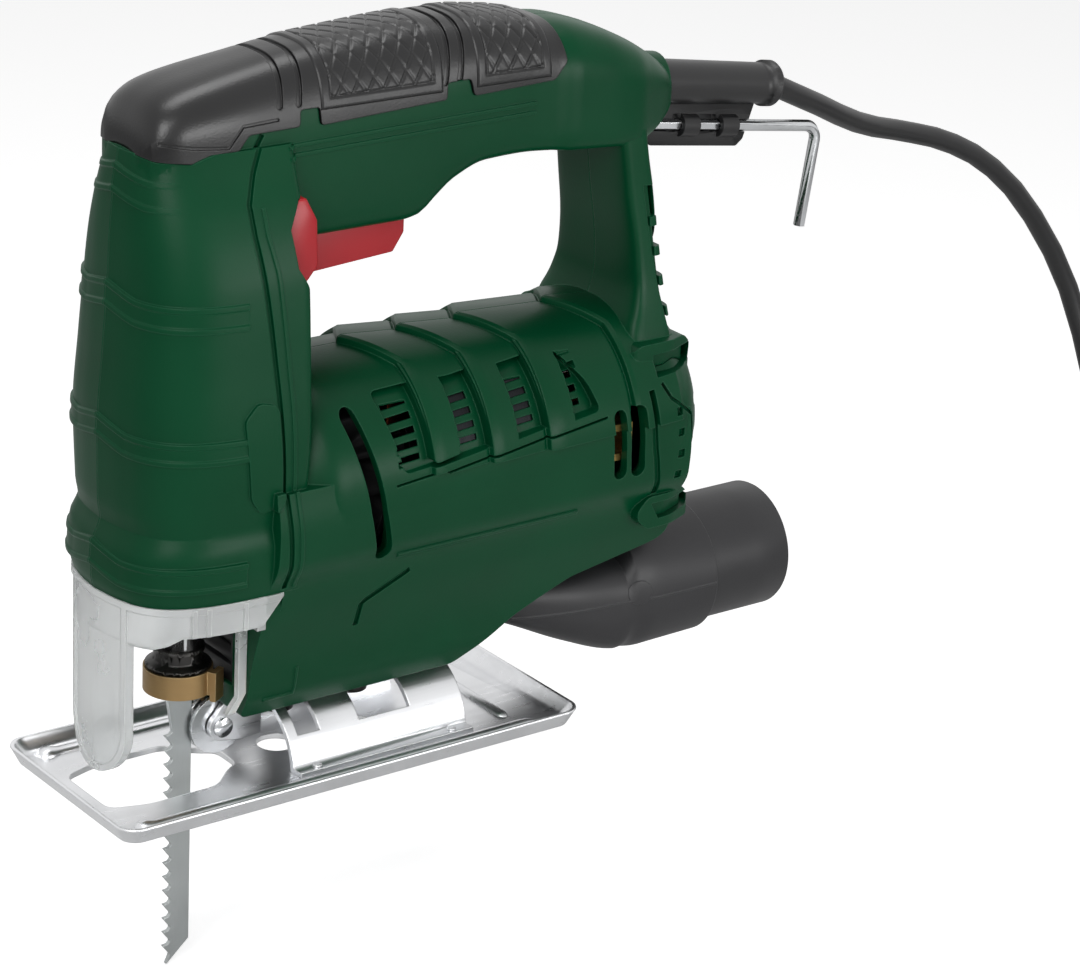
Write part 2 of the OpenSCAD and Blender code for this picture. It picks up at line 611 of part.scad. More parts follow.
module commutator() {
    color("chocolate") across(comm_x[0], comm_x[1]) translate([0, motor_z]) difference() {
        circle(comm_r);
        for (k = [0:23]) rotate(15 * k) translate([comm_r - 0.7, -0.2]) square([1, 0.4]);
        circle(shaft_r);
    }
}
fan_x = [-3, 9];
fan_r = barrel_r - wall - 3.6;
module cooling_fan() {
    color("black") difference() {
        union() {
            bar_x(fan_x[0], fan_x[1], motor_z, 7);
            bar_x(fan_x[1] - 1.8, fan_x[1], motor_z, fan_r);
            for (k = [0:15]) about_motor() rotate(22.5 * k) translate([5, -0.7, fan_x[0] + 1])
                cube([fan_r - 5.2, 1.4, fan_x[1] - fan_x[0] - 2]);
        }
        bar_x(fan_x[0] - 1, fan_x[1] + 1, motor_z, shaft_r);
    }
}

// ---------- gear pair ----------
press_angle = 20;
shift = 0.5;
backlash = 0.1;
gear_z = motor_z + gear_m * (pinion_n + gear_n) / 2;
gear_x = [-24.4, -17.4];
function inv(a) = tan(a) - a * PI / 180;
// Half angle of a tooth at radius r, for n teeth with profile shift s
function half_tooth(n, s, r) = let (rp = gear_m * n / 2, rb = rp * cos(press_angle),
    a = r > rb ? acos(rb / r) : 0)
    (PI / 2 / n + 2 * s * tan(press_angle) / n - backlash / 2 / rp + inv(press_angle) - inv(a)) * 180 / PI;
module spur(n, s) {
    rp = gear_m * n / 2;
    root = rp - 1.25 * gear_m + s * gear_m;
    // A shifted pinion is topped, so that its teeth keep a land
    tip = rp + (1 + s - 0.6 * max(s, 0)) * gear_m;
    steps = [root, root + (tip - root) * 0.35, root + (tip - root) * 0.7, tip];
    polygon([for (k = [0:n - 1], f = [-1, 1], i = [0:3])
        let (r = steps[f < 0 ? i : 3 - i], a = 360 * k / n + f * half_tooth(n, s, r)) [r * cos(a), r * sin(a)]]);
}
module motor_shaft() {
    color("silver") {
        bar_x(gear_x[1] + 0.8, rear_brg_x + bearing_w + 1, motor_z, shaft_r);
        bar_x(gear_x[1] + 0.2, front_brg_x - seat_gap, motor_z, shaft_r + 1.4);
        across(gear_x[0] - 0.6, gear_x[1] + 0.7) translate([0, motor_z]) rotate(90) spur(pinion_n, shift);
    }
}
gear_bore = 4;
module about_gear() { translate([0, 0, gear_z]) rotate([0, 90, 0]) children(); }
// Rest position: the crank stands a third of its radius below the middle of the stroke
crank_r = stroke / 2;
rest_drop = stroke / 3;
crank_angle = asin(rest_drop / crank_r);
module drive_gear() {
    color("silver") difference() {
        across(gear_x[0], gear_x[1]) translate([0, gear_z]) difference() {
            rotate(-90 + 180 / gear_n) spur(gear_n, -shift);
            circle(gear_bore + run_gap);
        }
        // Balance holes opposite the crank pin
        for (a = [-38, 0, 38]) about_gear() rotate(a + 90 + crank_angle) translate([12.5, 0, gear_x[0] - 1])
            cylinder(h = 10, r = 2.6);
    }
}
crank_tip = 5.4;
module crank_pin() {
    color("silver") about_gear() rotate(-90 + crank_angle) translate([crank_r, 0, gear_x[0] - crank_tip])
        rotate_extrude() polygon([[0, 0], [2.2, 0], [2.2, 0.4], [3.4, 0.4], [3.4, 4.4], [2.2, 4.4],
                                  [2.2, crank_tip], [0, crank_tip]]);
}
module gear_shaft() { color("silver") bar_x(gear_x[0] + 0.4, frame_x[1], gear_z, gear_bore); }

// ---------- gear frame and bushes ----------
frame_x = [-16, -12];
brg_boss_r = bearing_r + 2.5;
lower_bush_z = [53, 66];
upper_bush_z = [134, 146];
bush_t = 2.6;
nose_r = plunger_r + bush_t + 2;
module frame_arm(z, b) {
    translate([blade_x, -b, z[0]]) cube([frame_x[1] - blade_x, 2 * b, z[1] - z[0]]);
}
module gear_frame() {
    color("lightgray") difference() {
        union() {
            across(frame_x[0], frame_x[1]) {
                hull() { translate([0, gear_z]) circle(14); translate([0, motor_z]) circle(16); }
                translate([-5.5, gear_z]) square([11, upper_bush_z[1] - gear_z]);
                translate([-10, lower_bush_z[1] - 6]) square([20, 14]);
            }
            frame_arm(upper_bush_z, 5.5);
            bar_z(blade_x, upper_bush_z[0], upper_bush_z[1], stem_r + bush_t + 2);
            frame_arm([lower_bush_z[1] - 6, lower_bush_z[1]], 10);
            bar_z(blade_x, lower_bush_z[0], lower_bush_z[1], nose_r);
            bar_x(front_brg_x, front_brg_x + bearing_w, motor_z, brg_boss_r);
        }
        bar_x(front_brg_x - 1, front_brg_x + bearing_w + 1, motor_z, bearing_r);
        bar_x(frame_x[0] - 1, frame_x[1] + 1, gear_z, gear_bore);
        bar_z(blade_x, lower_bush_z[0] - 1, lower_bush_z[1] + 1, plunger_r + bush_t);
        bar_z(blade_x, upper_bush_z[0] - 1, upper_bush_z[1] + 1, stem_r + bush_t);
    }
}
module upper_bush() {
    color("goldenrod") ring_z(blade_x, upper_bush_z[0], upper_bush_z[1], stem_r + bush_t, stem_r + run_gap);
}
module lower_bush() {
    color("goldenrod") ring_z(blade_x, lower_bush_z[0], lower_bush_z[1], plunger_r + bush_t, plunger_r + run_gap);
}

// ---------- plunger, clamp and blade ----------
collar_z = clamp_z + 12.4;
// Rest stands a third of the stroke up from its lowest point
stroke_down = crank_r - rest_drop;
yoke_z = gear_z - rest_drop;
yoke_h = 6.5;
yoke_x = [blade_x - 6, gear_x[0] - crank_tip - 0.4];
module plunger() {
    color("gray") {
        bar_z(blade_x, collar_z, yoke_z - yoke_h, plunger_r);
        bar_z(blade_x, yoke_z - yoke_h - eps, upper_bush_z[1] + stroke_down + 3, stem_r);
    }
}
module cross_yoke() {
    color("silver") difference() {
        union() {
            translate([yoke_x[0], -7.5, yoke_z - yoke_h]) cube([yoke_x[1] - yoke_x[0], 15, 2 * yoke_h]);
            translate([yoke_x[1] - 5, -15, yoke_z - yoke_h]) cube([5, 30, 2 * yoke_h]);
        }
        across(yoke_x[1] - 1.8, yoke_x[1] + 1) slot([-crank_r - 1, yoke_z], [crank_r + 1, yoke_z], 3.7);
        bar_z(blade_x, yoke_z - yoke_h - 1, yoke_z + yoke_h + 1, stem_r);
    }
}
core_r = 7;
blade_t = 1.2;
ring_h = 6.3;
shank_b = 3.7;
module clamp_body() {
    color("dimgray") difference() {
        union() {
            bar_z(blade_x, clamp_z, clamp_z + ring_h + 0.6, core_r);
            translate([blade_x, 0, clamp_z + ring_h + 0.4]) rotate_extrude()
                polygon([[0, 0], [8.4, 0], [8.4, 0.8], [6.2, 2.2], [6.2, 4.2], [6.7, 4.5], [6.7, 5.7],
                         [0, 5.7]]);
        }
        translate([blade_x - shank_b - seat_gap, -blade_t / 2, clamp_z - 1])
            cube([2 * (shank_b + seat_gap), blade_t, ring_h + 1 + seat_gap]);
    }
}
clamp_ring_r = 8.9;
lug_angle = -58;
module clamp_ring() {
    color("peru") difference() {
        union() {
            bar_z(blade_x, clamp_z + 0.3, clamp_z + ring_h + 0.3, clamp_ring_r);
            translate([blade_x, 0, clamp_z + 0.3]) rotate(lug_angle) {
                translate([clamp_ring_r - 2, -1.2, 0]) cube([4.2, 2.4, ring_h]);
                translate([clamp_ring_r + 0.6, -1.2, -1.6]) cube([1.6, 4.6, ring_h + 1.6]);
            }
        }
        bar_z(blade_x, clamp_z - 3, clamp_z + 4.2, core_r + run_gap);
        bar_z(blade_x, clamp_z + 4.1, clamp_z + ring_h + 1, core_r + 1.2);
    }
}
module clamp_spring() {
    color("silver") for (k = [0:1]) translate([blade_x, 0, clamp_z + 4.8 + k * 1.05]) rotate_extrude()
        translate([core_r + 0.6, 0]) circle(0.4, $fn = 16);
}

// Blade from tooth tips to back, about the clamp's axis
blade_b = 3.8;
blade_back = blade_x + blade_b;
blade_tips = blade_x - blade_b;
tooth_d = 2.1;
blade_tip = clamp_z - blade_l;
tooth_n = floor((blade_l - 12) / tooth_pitch);
module saw_blade() {
    first = blade_tip + 2.6;
    color("lightgray") side(-blade_t / 2, blade_t / 2) difference() {
        polygon([[blade_x - shank_b, clamp_z + ring_h], [blade_x - shank_b, clamp_z],
            each [for (k = [tooth_n - 1:-1:0]) let (z = first + k * tooth_pitch)
                each [[blade_tips + tooth_d, z + tooth_pitch * 0.92],
                      [blade_tips + tooth_d * 0.7, z + tooth_pitch * 0.74],
                      [blade_tips, z + tooth_pitch * 0.7], [blade_tips + tooth_d, z]]],
            [blade_tips + 1, blade_tip], [blade_back, blade_tip + 6], [blade_back, clamp_z - 2],
            [blade_x + shank_b, clamp_z], [blade_x + shank_b, clamp_z + ring_h]]);
        translate([blade_x + 1.4, clamp_z + 3.4]) circle(1.5, $fn = 24);
    }
}

// ---------- blade guide ----------
roller_r = 8;
roller_groove = 1.4;
roller_b = 2.5;
roller_gap = 0.3;
roller_x = blade_back + roller_gap + roller_r - roller_groove;
roller_z = 12.4;
pin_r = 1.6;
module guide_roller() {
    color("silver") translate([roller_x, 0, roller_z]) rotate([90, 0, 0]) rotate_extrude()
        polygon([[pin_r + run_gap, -roller_b], [roller_r, -roller_b], [roller_r, -blade_t / 2 - 0.9],
                 [roller_r - roller_groove, -blade_t / 2 - roller_gap],
                 [roller_r - roller_groove, blade_t / 2 + roller_gap], [roller_r, blade_t / 2 + 0.9],
                 [roller_r, roller_b], [pin_r + run_gap, roller_b]]);
}
arm_gap = 0.4;
arm_t = 1.5;
arm_b = roller_b + arm_gap + arm_t;
arm_end = saddle_x[0] - 1.2;
module roller_arm() {
    color("whitesmoke") difference() {
        side(-arm_b, arm_b) union() {
            translate([roller_x, roller_z]) circle(3.8);
            polygon([[roller_x - 1, roller_z - 3.7], [roller_x + 5, 7.6], [arm_end, 8], [arm_end, foot_z],
                [foot_front + 1.4, foot_z], [roller_x - 2, roller_z + 3.2]]);
        }
        // Fork round the roller
        translate([roller_x - 20, -arm_b + arm_t, 0]) cube([20 + roller_r + 0.6, 2 * (arm_b - arm_t), 30]);
        bar_y(roller_x, -10, 10, roller_z, pin_r);
    }
}
module roller_pin() {
    color("silver") {
        bar_y(roller_x, -arm_b, arm_b, roller_z, pin_r);
        both_sides() bar_y(roller_x, arm_b, arm_b + 0.8, roller_z, pin_r + 1.1);
    }
}
module chip_deflector() {
    color("black") difference() {
        translate([deflector_x[0], -deflector_b, deflector_z[0]])
            cube([deflector_x[1] - deflector_x[0], 2 * deflector_b, deflector_z[1] - deflector_z[0]]);
        for (z = [31, 36, 41, 46]) translate([deflector_x[0] - 1, -deflector_b + 2, z])
            cube([2, 2 * deflector_b - 4, 1.6]);
    }
}

// ---------- tilting sole ----------
rim_flare = 2;
module sole_outline(inset) {
    offset(4) square([sole_l - 2 * inset - 8, sole_w - 2 * inset - 8], center = true);
}
// Flared tray between two heights; its outline at each height lies on the flared rim
function flare_at(z) = rim_flare * (1 - z / rim_h);
module tray(z0, z1, inset) {
    hull() for (z = [z0, z1 - eps]) translate([0, 0, z]) linear_extrude(eps)
        sole_outline(flare_at(z) + inset, $fn = 24);
}
gap_x = -sole_l / 2 + 7;
module blade_gap() {
    soft(3) polygon([[gap_x, -gap_w / 2 + 3], [gap_x + 10, -gap_w / 2], [gap_x + gap_l - 11, -gap_w / 2],
        [gap_x + gap_l - 4, -gap_w / 2 + 6.5], [gap_x + gap_l, -5], [gap_x + gap_l, 5],
        [gap_x + gap_l - 4, gap_w / 2 - 6.5], [gap_x + gap_l - 11, gap_w / 2], [gap_x + 10, gap_w / 2],
        [gap_x, gap_w / 2 - 3]]);
}
bead_y = sole_w / 2 - 6.6;
bead_r = 1.8;
bead_x = sole_l / 2 - 9;
screw_x = [-7, 16];
access_r = 5.2;
module sole_plate() {
    color("silver") difference() {
        union() {
            difference() {
                tray(0, rim_h, 0);
                tray(sole_t, rim_h + 1, 1.2);
            }
            // Pressed beads along both long edges
            for (s = [-1, 1]) intersection() {
                translate([-bead_x, s * bead_y, sole_t - 1]) rotate([0, 90, 0])
                    cylinder(h = 2 * bead_x, r = bead_r);
                translate([0, s * bead_y, 5 + sole_t / 2]) cube([sole_l, 8, 10], center = true);
            }
            translate([bead_x - 8, 0, 0]) intersection() {
                translate([0, 0, sole_t - 1]) rotate([90, 0, 0])
                    cylinder(h = 2 * bead_y - 12, r = bead_r, center = true);
                translate([0, 0, 5 + sole_t / 2]) cube([10, 60, 10], center = true);
            }
        }
        translate([0, 0, -1]) linear_extrude(12) blade_gap();
        for (x = screw_x) bar_z(x, -1, 10, access_r);
    }
}
flange_b = 21.6;
tilt_limit = 45;
clamp_screw_r = 2.45;
// Slot round the arch for a screw of half width w, open to the tilt limit
module arch_slot(x, w) {
    reach = tilt_limit + asin((clamp_screw_r + 0.6) / (saddle_r - sole_t));
    across(x - w, x + w) polygon([[0, 0], each [for (k = [0:10]) let (a = 90 - reach + k * reach / 5)
        30 * [cos(a), sin(a)]]]);
}
module sole_saddle() {
    color("silver") difference() {
        union() {
            intersection() {
                ring_x(saddle_x[0], saddle_x[1], 0, saddle_r, saddle_r - sole_t);
                translate([saddle_x[0] - 1, -30, sole_t]) cube([saddle_l + 2, 60, 30]);
            }
            for (s = [-1, 1]) translate([saddle_x[0], s > 0 ? saddle_r - sole_t / 2 : -flange_b, sole_t])
                cube([saddle_l, flange_b - saddle_r + sole_t / 2, sole_t]);
        }
        arch_slot(screw_x[0], clamp_screw_r + 1);
        arch_slot(screw_x[1] + 0.4, 8);
    }
}
module saddle_rivets() {
    color("silver") for (x = [saddle_x[0] + 6, saddle_x[1] - 6], s = [-1, 1])
        translate([x, s * (saddle_r + flange_b) / 2, 2 * sole_t]) cylinder(h = 0.6, r = 1.2);
}
head_r = 4.2;
nut_z = foot_z + wall;
module saddle_screws() {
    head_top = sqrt(pow(saddle_r - sole_t - 0.3, 2) - pow(head_r, 2));
    color("dimgray") for (x = screw_x) difference() {
        union() {
            bar_z(x, head_top - 1, nut_z + 4, clamp_screw_r);
            bar_z(x, head_top - 4, head_top, head_r);
        }
        translate([x, 0, head_top - 5]) cylinder(h = 3.4, r = 2, $fn = 6);
    }
}
module nut_plate() {
    color("silver") difference() {
        translate([screw_x[0] - 7, -8, nut_z]) cube([screw_x[1] - screw_x[0] + 14, 16, 3]);
        for (x = screw_x) bar_z(x, nut_z - 1, nut_z + 10, clamp_screw_r);
    }
}

// ---------- clear guard ----------
guard_drop = [8, 11];
tongue_b = 12.6;
tongue_z = 8;
leg_z = 22;
module guard_plan(grow) { offset(delta = grow) polygon(case_ring(case_table[0][1], case_table[0][2], 0)); }
module guard_wall(z0, grow) {
    translate([0, 0, z0]) linear_extrude(case_z - z0) difference() {
        guard_plan(grow);
        guard_plan(grow - guard_t);
    }
}
wing_x = -23;
module blade_guard() {
    color("white") {
        // Band under the gear case, lower at the nose than on the flanks
        intersection() {
            guard_wall(case_z - guard_drop[1], 0);
            side(-40, 40) polygon([[-70, case_z], [-70, case_z - guard_drop[1]], [-56, case_z - guard_drop[1]],
                [-50, case_z - guard_drop[0]], [wing_x - 6, case_z - guard_drop[0]], [wing_x, case_z - 1],
                [wing_x, case_z]]);
        }
        // Tongue in front of the blade
        intersection() {
            guard_wall(tongue_z, -0.1);
            across(-70, -45) union() {
                translate([-tongue_b, tongue_z + tongue_b]) square([2 * tongue_b, case_z]);
                translate([0, tongue_z + tongue_b]) circle(tongue_b);
            }
        }
        // Rear legs beside the clamp
        both_sides() side(-16.6, -15) polygon([[-29.6, case_z - guard_drop[0] + 0.5], [-29.6, leg_z + 4],
            [-33, leg_z], [-30.6, leg_z], [-27.6, leg_z + 5], [-27.6, case_z - guard_drop[0] + 0.5]]);
        both_sides() translate([-29.6, 15, case_z - guard_drop[0] - 1.4])
            cube([2, 10.2, 1.6]);
    }
}

// ---------- dust adaptor ----------
tube_end = 151;
tube_z = 25;
step_x = 124;
// Scoop: station, lower edge, upper edge, half width
scoop_table = [[57, 23.6, 31.3, 9], [64, 20.4, 34.6, 11.6], [80, 12.8, 35.6, 15.4], [95, 7, 36, 17],
               [97.5, 6.6, 41.6, 17.4], [104, 5.4, 43, 18.4], [step_x, 5.4, 43, 18.8]];
module scoop(grow) {
    loft([for (i = [0:6]) let (r = scoop_table[i]) at_x(oval(0, (r[1] + r[2]) / 2, r[3] + grow,
        (r[2] - r[1]) / 2 + grow, 3.2 - 0.2 * i, 28), r[0] - (i == 0 ? 1 : i == 6 ? -1 : 0) * grow)]);
}
module dust_adaptor() {
    color("dimgray") difference() {
        union() {
            scoop(0);
            bar_x(step_x - 1, tube_end, tube_z, tube_d / 2);
            // Spigot that plugs into the duct mouth
            translate([47, -duct_b, duct_z[0]]) cube([11, 2 * duct_b, duct_z[1] - duct_z[0]]);
        }
        scoop(-tube_t);
        bar_x(step_x - 6, tube_end + 1, tube_z, tube_d / 2 - tube_t);
        translate([46, -duct_b + tube_t, duct_z[0] + tube_t])
            cube([14, 2 * (duct_b - tube_t), duct_z[1] - duct_z[0] - 2 * tube_t]);
    }
}

// ---------- mains cord ----------
route = [[146.2, 0, 158.5], [154, 0.5, 154.9], [166.5, 2.5, 149.3], [176, 5, 144.8], [186, 8, 140.5],
         [195, 10, 137.4], [204, 11.5, 135], [212, 12, 132.8], [220, 12, 130.5], [228, 12, 127.4],
         [236.2, 12, 123.4], [244.7, 12, 117.9], [253.6, 12, 110.6], [263, 12, 100.7], [272.6, 12, 88.6],
         [280, 11, 76], [284.6, 8, 62], [286.6, 3, 47], [286.6, -4, 33], [285.6, -12, 20.5], [284.2, -21, 11],
         [283.4, -30, 5.6], [284.2, -39, 3.4], [287, -48, 3]];
coil_r = [24, 48.4];
coil_h = 12.2;
coil_at = [335, -28];
cord_n = 8;
function unit(v) = v / norm(v);
function tangent(p, i) = unit(p[min(i + 1, len(p) - 1)] - p[max(i - 1, 0)]);
module sweep(p, r) {
    loft([for (i = [0:len(p) - 1]) let (t = tangent(p, i), u = unit(cross(t, [0.02, 1, 0.01])), v = cross(t, u))
        [for (k = [0:cord_n - 1]) p[i] + r * (cos(360 * k / cord_n) * u + sin(360 * k / cord_n) * v)]]);
}
module cord() { color("black") sweep(route, cord_d / 2); }
module cord_coil() {
    inner = coil_r[0];
    outer = coil_r[1];
    color("black") translate([coil_at[0], coil_at[1], 0]) rotate_extrude()
        polygon([[inner, 1], [inner + 1, 0], [outer - 1, 0], [outer, 1], [outer, 5], [outer - 4, coil_h],
                 [inner + 4, coil_h], [inner, 5]]);
}
plug_y = (coil_r[0] + coil_r[1]) / 2;
module mains_plug() {
    translate([coil_at[0] - 2, coil_at[1] + plug_y, coil_h]) mirror([1, 0, 0]) {
        color("black") linear_extrude(13.6)
            soft(3) polygon([[-18, -5], [-6, -13], [18, -13], [18, 13], [-6, 13], [-18, 5]]);
        color("silver") for (s = [-1, 1]) translate([18 - eps, s * 9.3, 6.8])
            rotate([0, 90, 0]) cylinder(h = 19, r = 2);
    }
}

left_shell();
right_shell();
handle_grip();
housing_screws();
trigger();
lock_button();
switch_unit();
cord_clamp();
cord_sleeve();
key_clip();
hex_key();
motor_stator();
field_coils();
brush_holders();
carbon_brushes();
front_bearing();
rear_bearing();
motor_shaft();
armature_core();
commutator();
cooling_fan();
drive_gear();
crank_pin();
gear_shaft();
gear_frame();
upper_bush();
lower_bush();
plunger();
cross_yoke();
clamp_body();
clamp_spring();
clamp_ring();
saw_blade();
roller_arm();
roller_pin();
guide_roller();
chip_deflector();
sole_plate();
sole_saddle();
saddle_rivets();
saddle_screws();
nut_plate();
blade_guard();
dust_adaptor();
cord();
cord_coil();
mains_plug();
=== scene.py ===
import json
from math import asin, atan2, ceil, copysign, cos, hypot, pi, radians, sin
import bpy
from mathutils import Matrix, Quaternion, Vector

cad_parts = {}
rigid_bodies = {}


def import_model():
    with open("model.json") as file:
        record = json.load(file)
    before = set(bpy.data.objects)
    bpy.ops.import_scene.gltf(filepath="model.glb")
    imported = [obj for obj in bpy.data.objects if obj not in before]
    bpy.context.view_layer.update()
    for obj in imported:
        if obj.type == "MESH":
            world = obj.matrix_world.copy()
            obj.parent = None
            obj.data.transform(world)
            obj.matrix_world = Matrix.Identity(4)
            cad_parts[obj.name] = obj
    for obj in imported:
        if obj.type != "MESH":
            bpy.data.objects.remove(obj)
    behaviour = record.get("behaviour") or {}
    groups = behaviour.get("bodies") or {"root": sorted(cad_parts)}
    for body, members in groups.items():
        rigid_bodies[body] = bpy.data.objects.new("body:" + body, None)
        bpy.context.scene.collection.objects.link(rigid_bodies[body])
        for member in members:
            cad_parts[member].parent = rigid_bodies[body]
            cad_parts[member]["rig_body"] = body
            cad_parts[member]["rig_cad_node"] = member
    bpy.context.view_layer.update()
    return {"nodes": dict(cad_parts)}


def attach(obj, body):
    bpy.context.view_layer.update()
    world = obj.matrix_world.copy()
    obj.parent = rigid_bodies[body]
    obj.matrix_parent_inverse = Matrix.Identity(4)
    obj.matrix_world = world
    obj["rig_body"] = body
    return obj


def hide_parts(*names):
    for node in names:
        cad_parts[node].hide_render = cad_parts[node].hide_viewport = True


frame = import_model()
mm = 0.001
print("frame loaded:", len(frame["nodes"]), "nodes")


# Camera, stage and light
cameraSet = {"aim": (75.37, 0, 56.56), "azimuth": -37.94, "elevation": 21.44, "roll": 2.95,
             "distance": 971.77, "lens": 121.52}


def addCamera(view):
    azimuth, elevation = radians(view["azimuth"]), radians(view["elevation"])
    back = Vector((sin(azimuth) * cos(elevation), -cos(azimuth) * cos(elevation),
                   sin(elevation)))
    bpy.ops.object.camera_add(location=(Vector(view["aim"]) + back * view["distance"]) * mm)
    camera = bpy.context.object
    camera.name = "productCamera"
    camera.rotation_mode = "QUATERNION"
    roll = Quaternion((0, 0, 1), radians(view["roll"]))
    camera.rotation_quaternion = back.to_track_quat("Z", "Y") @ roll
    camera.data.lens = view["lens"]
    camera.data.clip_start = 0.01
    bpy.context.scene.camera = camera


def addNode(tree, kind, inputs=None, **settings):
    node = tree.nodes.new("ShaderNode" + kind)
    for name, value in settings.items():
        setattr(node, name, value)
    for name, value in (inputs or {}).items():
        node.inputs[name].default_value = value
    return node


def wire(tree, *links):
    # Each link: from a node and its output to a node and its input
    for source, output, target, socket in links:
        tree.links.new(source.outputs[output], target.inputs[socket])


def addWorld(strength):
    # White behind the tool and in what metal and clear plastic show; plain soft light elsewhere
    world = bpy.data.worlds.new("studioWorld")
    world.use_nodes = True
    bpy.context.scene.world = world
    tree = world.node_tree
    tree.nodes.clear()
    path = addNode(tree, "LightPath")
    seen = addNode(tree, "Math", operation="MAXIMUM")
    clear = addNode(tree, "Math", operation="MAXIMUM")
    level = addNode(tree, "MapRange", {"To Min": strength, "To Max": 1.0})
    sky = addNode(tree, "Background", {"Color": (1, 1, 1, 1)})
    out = addNode(tree, "OutputWorld")
    wire(tree, (path, "Is Camera Ray", seen, 0), (path, "Is Glossy Ray", seen, 1), (seen, 0, clear, 0),
         (path, "Is Transmission Ray", clear, 1), (clear, 0, level, "Value"),
         (level, "Result", sky, "Strength"), (sky, 0, out, "Surface"))


def addLamp(name, at, size, power):
    bpy.ops.object.light_add(type="AREA", location=Vector(at) * mm)
    lamp = bpy.context.object
    lamp.name = name
    aim = Vector(cameraSet["aim"]) - Vector(at)
    lamp.rotation_mode = "QUATERNION"
    lamp.rotation_quaternion = aim.to_track_quat("-Z", "Y")
    lamp.data.shape = "RECTANGLE"
    lamp.data.size = size[0] * mm
    lamp.data.size_y = size[1] * mm
    lamp.data.energy = power


def addFloor(height):
    bpy.ops.mesh.primitive_plane_add(size=8, location=(0.1, 0, height * mm))
    floor = bpy.context.object
    floor.name = "paleFloor"
    material = bpy.data.materials.new("palePaper")
    material.use_nodes = True
    tree = material.node_tree
    shader = tree.nodes["Principled BSDF"]
    shader.inputs["Base Color"].default_value = (0.86, 0.86, 0.86, 1)
    shader.inputs["Roughness"].default_value = 0.9
    shader.inputs["Specular IOR Level"].default_value = 0.0
    path = addNode(tree, "LightPath")
    glow = addNode(tree, "Emission", {"Color": (1, 1, 1, 1), "Strength": 0.6})
    both = addNode(tree, "AddShader")
    seen = addNode(tree, "MixShader")
    out = tree.nodes["Material Output"]
    wire(tree, (shader, 0, both, 0), (glow, 0, both, 1), (path, "Is Camera Ray", seen, "Fac"),
         (shader, 0, seen, 1), (both, 0, seen, 2), (seen, 0, out, "Surface"))
    floor.data.materials.append(material)


bpy.context.scene.view_settings.view_transform = "Standard"
addCamera(cameraSet)
addWorld(0.25)
addLamp("frontSoftbox", (-560, -520, 520), (420, 420), 3.2)
addLamp("sideSoftbox", (260, -820, 160), (620, 200), 2.9)
addLamp("topSoftbox", (60, 60, 900), (640, 300), 3.0)
addFloor(-54.6)
print("camera and light set")


# Finishes
def shade(red, green, blue):
    # Linear colour from the usual 0 to 255 scale
    channel = [value / 255 for value in (red, green, blue)]
    return tuple(c / 12.92 if c <= 0.04045 else ((c + 0.055) / 1.055) ** 2.4 for c in channel) + (1.0,)


def scaled(colour, factor):
    return tuple(min(1.0, c * factor) for c in colour[:3]) + (1.0,)


def startFinish(name, metal, specular=0.5):
    material = bpy.data.materials.new(name)
    material.use_nodes = True
    tree = material.node_tree
    shader = tree.nodes["Principled BSDF"]
    shader.inputs["Metallic"].default_value = metal
    shader.inputs["Specular IOR Level"].default_value = specular
    place = addNode(tree, "TexCoord")
    return material, tree, shader, place


def patch(tree, place, squeeze, scale, detail):
    # Noise whose grains are narrower by the squeeze on each axis
    turn = addNode(tree, "Mapping", {"Scale": squeeze})
    noise = addNode(tree, "TexNoise", {"Scale": scale, "Detail": detail})
    wire(tree, (place, "Object", turn, "Vector"), (turn, 0, noise, "Vector"))
    return noise.outputs["Fac"]


def spread(tree, source, low, high, fromLow=0.3, fromHigh=0.7):
    node = addNode(tree, "MapRange", {"From Min": fromLow, "From Max": fromHigh, "To Min": low,
                                      "To Max": high})
    tree.links.new(source, node.inputs["Value"])
    return node.outputs["Result"]


def mixed(tree, factor, first, second):
    node = addNode(tree, "Mix", data_type="RGBA")
    for socket, value in ((6, first), (7, second)):
        if isinstance(value, tuple):
            node.inputs[socket].default_value = value
        else:
            tree.links.new(value, node.inputs[socket])
    tree.links.new(factor, node.inputs[0])
    return node.outputs[2]


def rounded(tree, radius):
    # Softened edges, and a mask that is 1 along them
    soft = addNode(tree, "Bevel", {"Radius": radius * mm}, samples=6)
    flat = addNode(tree, "NewGeometry")
    along = addNode(tree, "VectorMath", operation="DOT_PRODUCT")
    wire(tree, (soft, 0, along, 0), (flat, "Normal", along, 1))
    return soft.outputs[0], spread(tree, along.outputs["Value"], 1.0, 0.0, 0.86, 0.98)


def bumped(tree, height, depth, normal):
    node = addNode(tree, "Bump", {"Strength": 1.0, "Distance": depth * mm})
    tree.links.new(height, node.inputs["Height"])
    tree.links.new(normal, node.inputs["Normal"])
    return node.outputs[0]


def closeFinish(tree, shader, look, colour, shine, grain, soft):
    # The ending that all finishes share: colour, uneven shine and grain
    tree.links.new(colour, shader.inputs["Base Color"])
    tree.links.new(spread(tree, shine, *look["roughness"]), shader.inputs["Roughness"])
    tree.links.new(bumped(tree, grain, look["grainDepth"], soft), shader.inputs["Normal"])


def moulded(name, look):
    # Moulded plastic or rubber: cloudy colour, fine grain, and paler edges, partly rubbed wear and partly a
    # painted highlight
    material, tree, shader, place = startFinish(name, 0.0, look["specular"])
    cloud = patch(tree, place, (1, 1, 1), 28, 3)
    grain = patch(tree, place, (1, 1, 1), look["grain"], 2)
    soft, edge = rounded(tree, look["edgeRadius"])
    body = mixed(tree, spread(tree, cloud, 0, 1), scaled(look["colour"], 0.92), scaled(look["colour"], 1.08))
    # Edges blended towards the pale edge colour: partly wear, partly a painted highlight along them
    wearAndHighlightBlend = mixed(tree, spread(tree, edge, 0, look["wearAndHighlightAmount"], 0, 1), body, look["wearAndHighlightColour"])
    closeFinish(tree, shader, look, wearAndHighlightBlend, cloud, grain, soft)
    return material


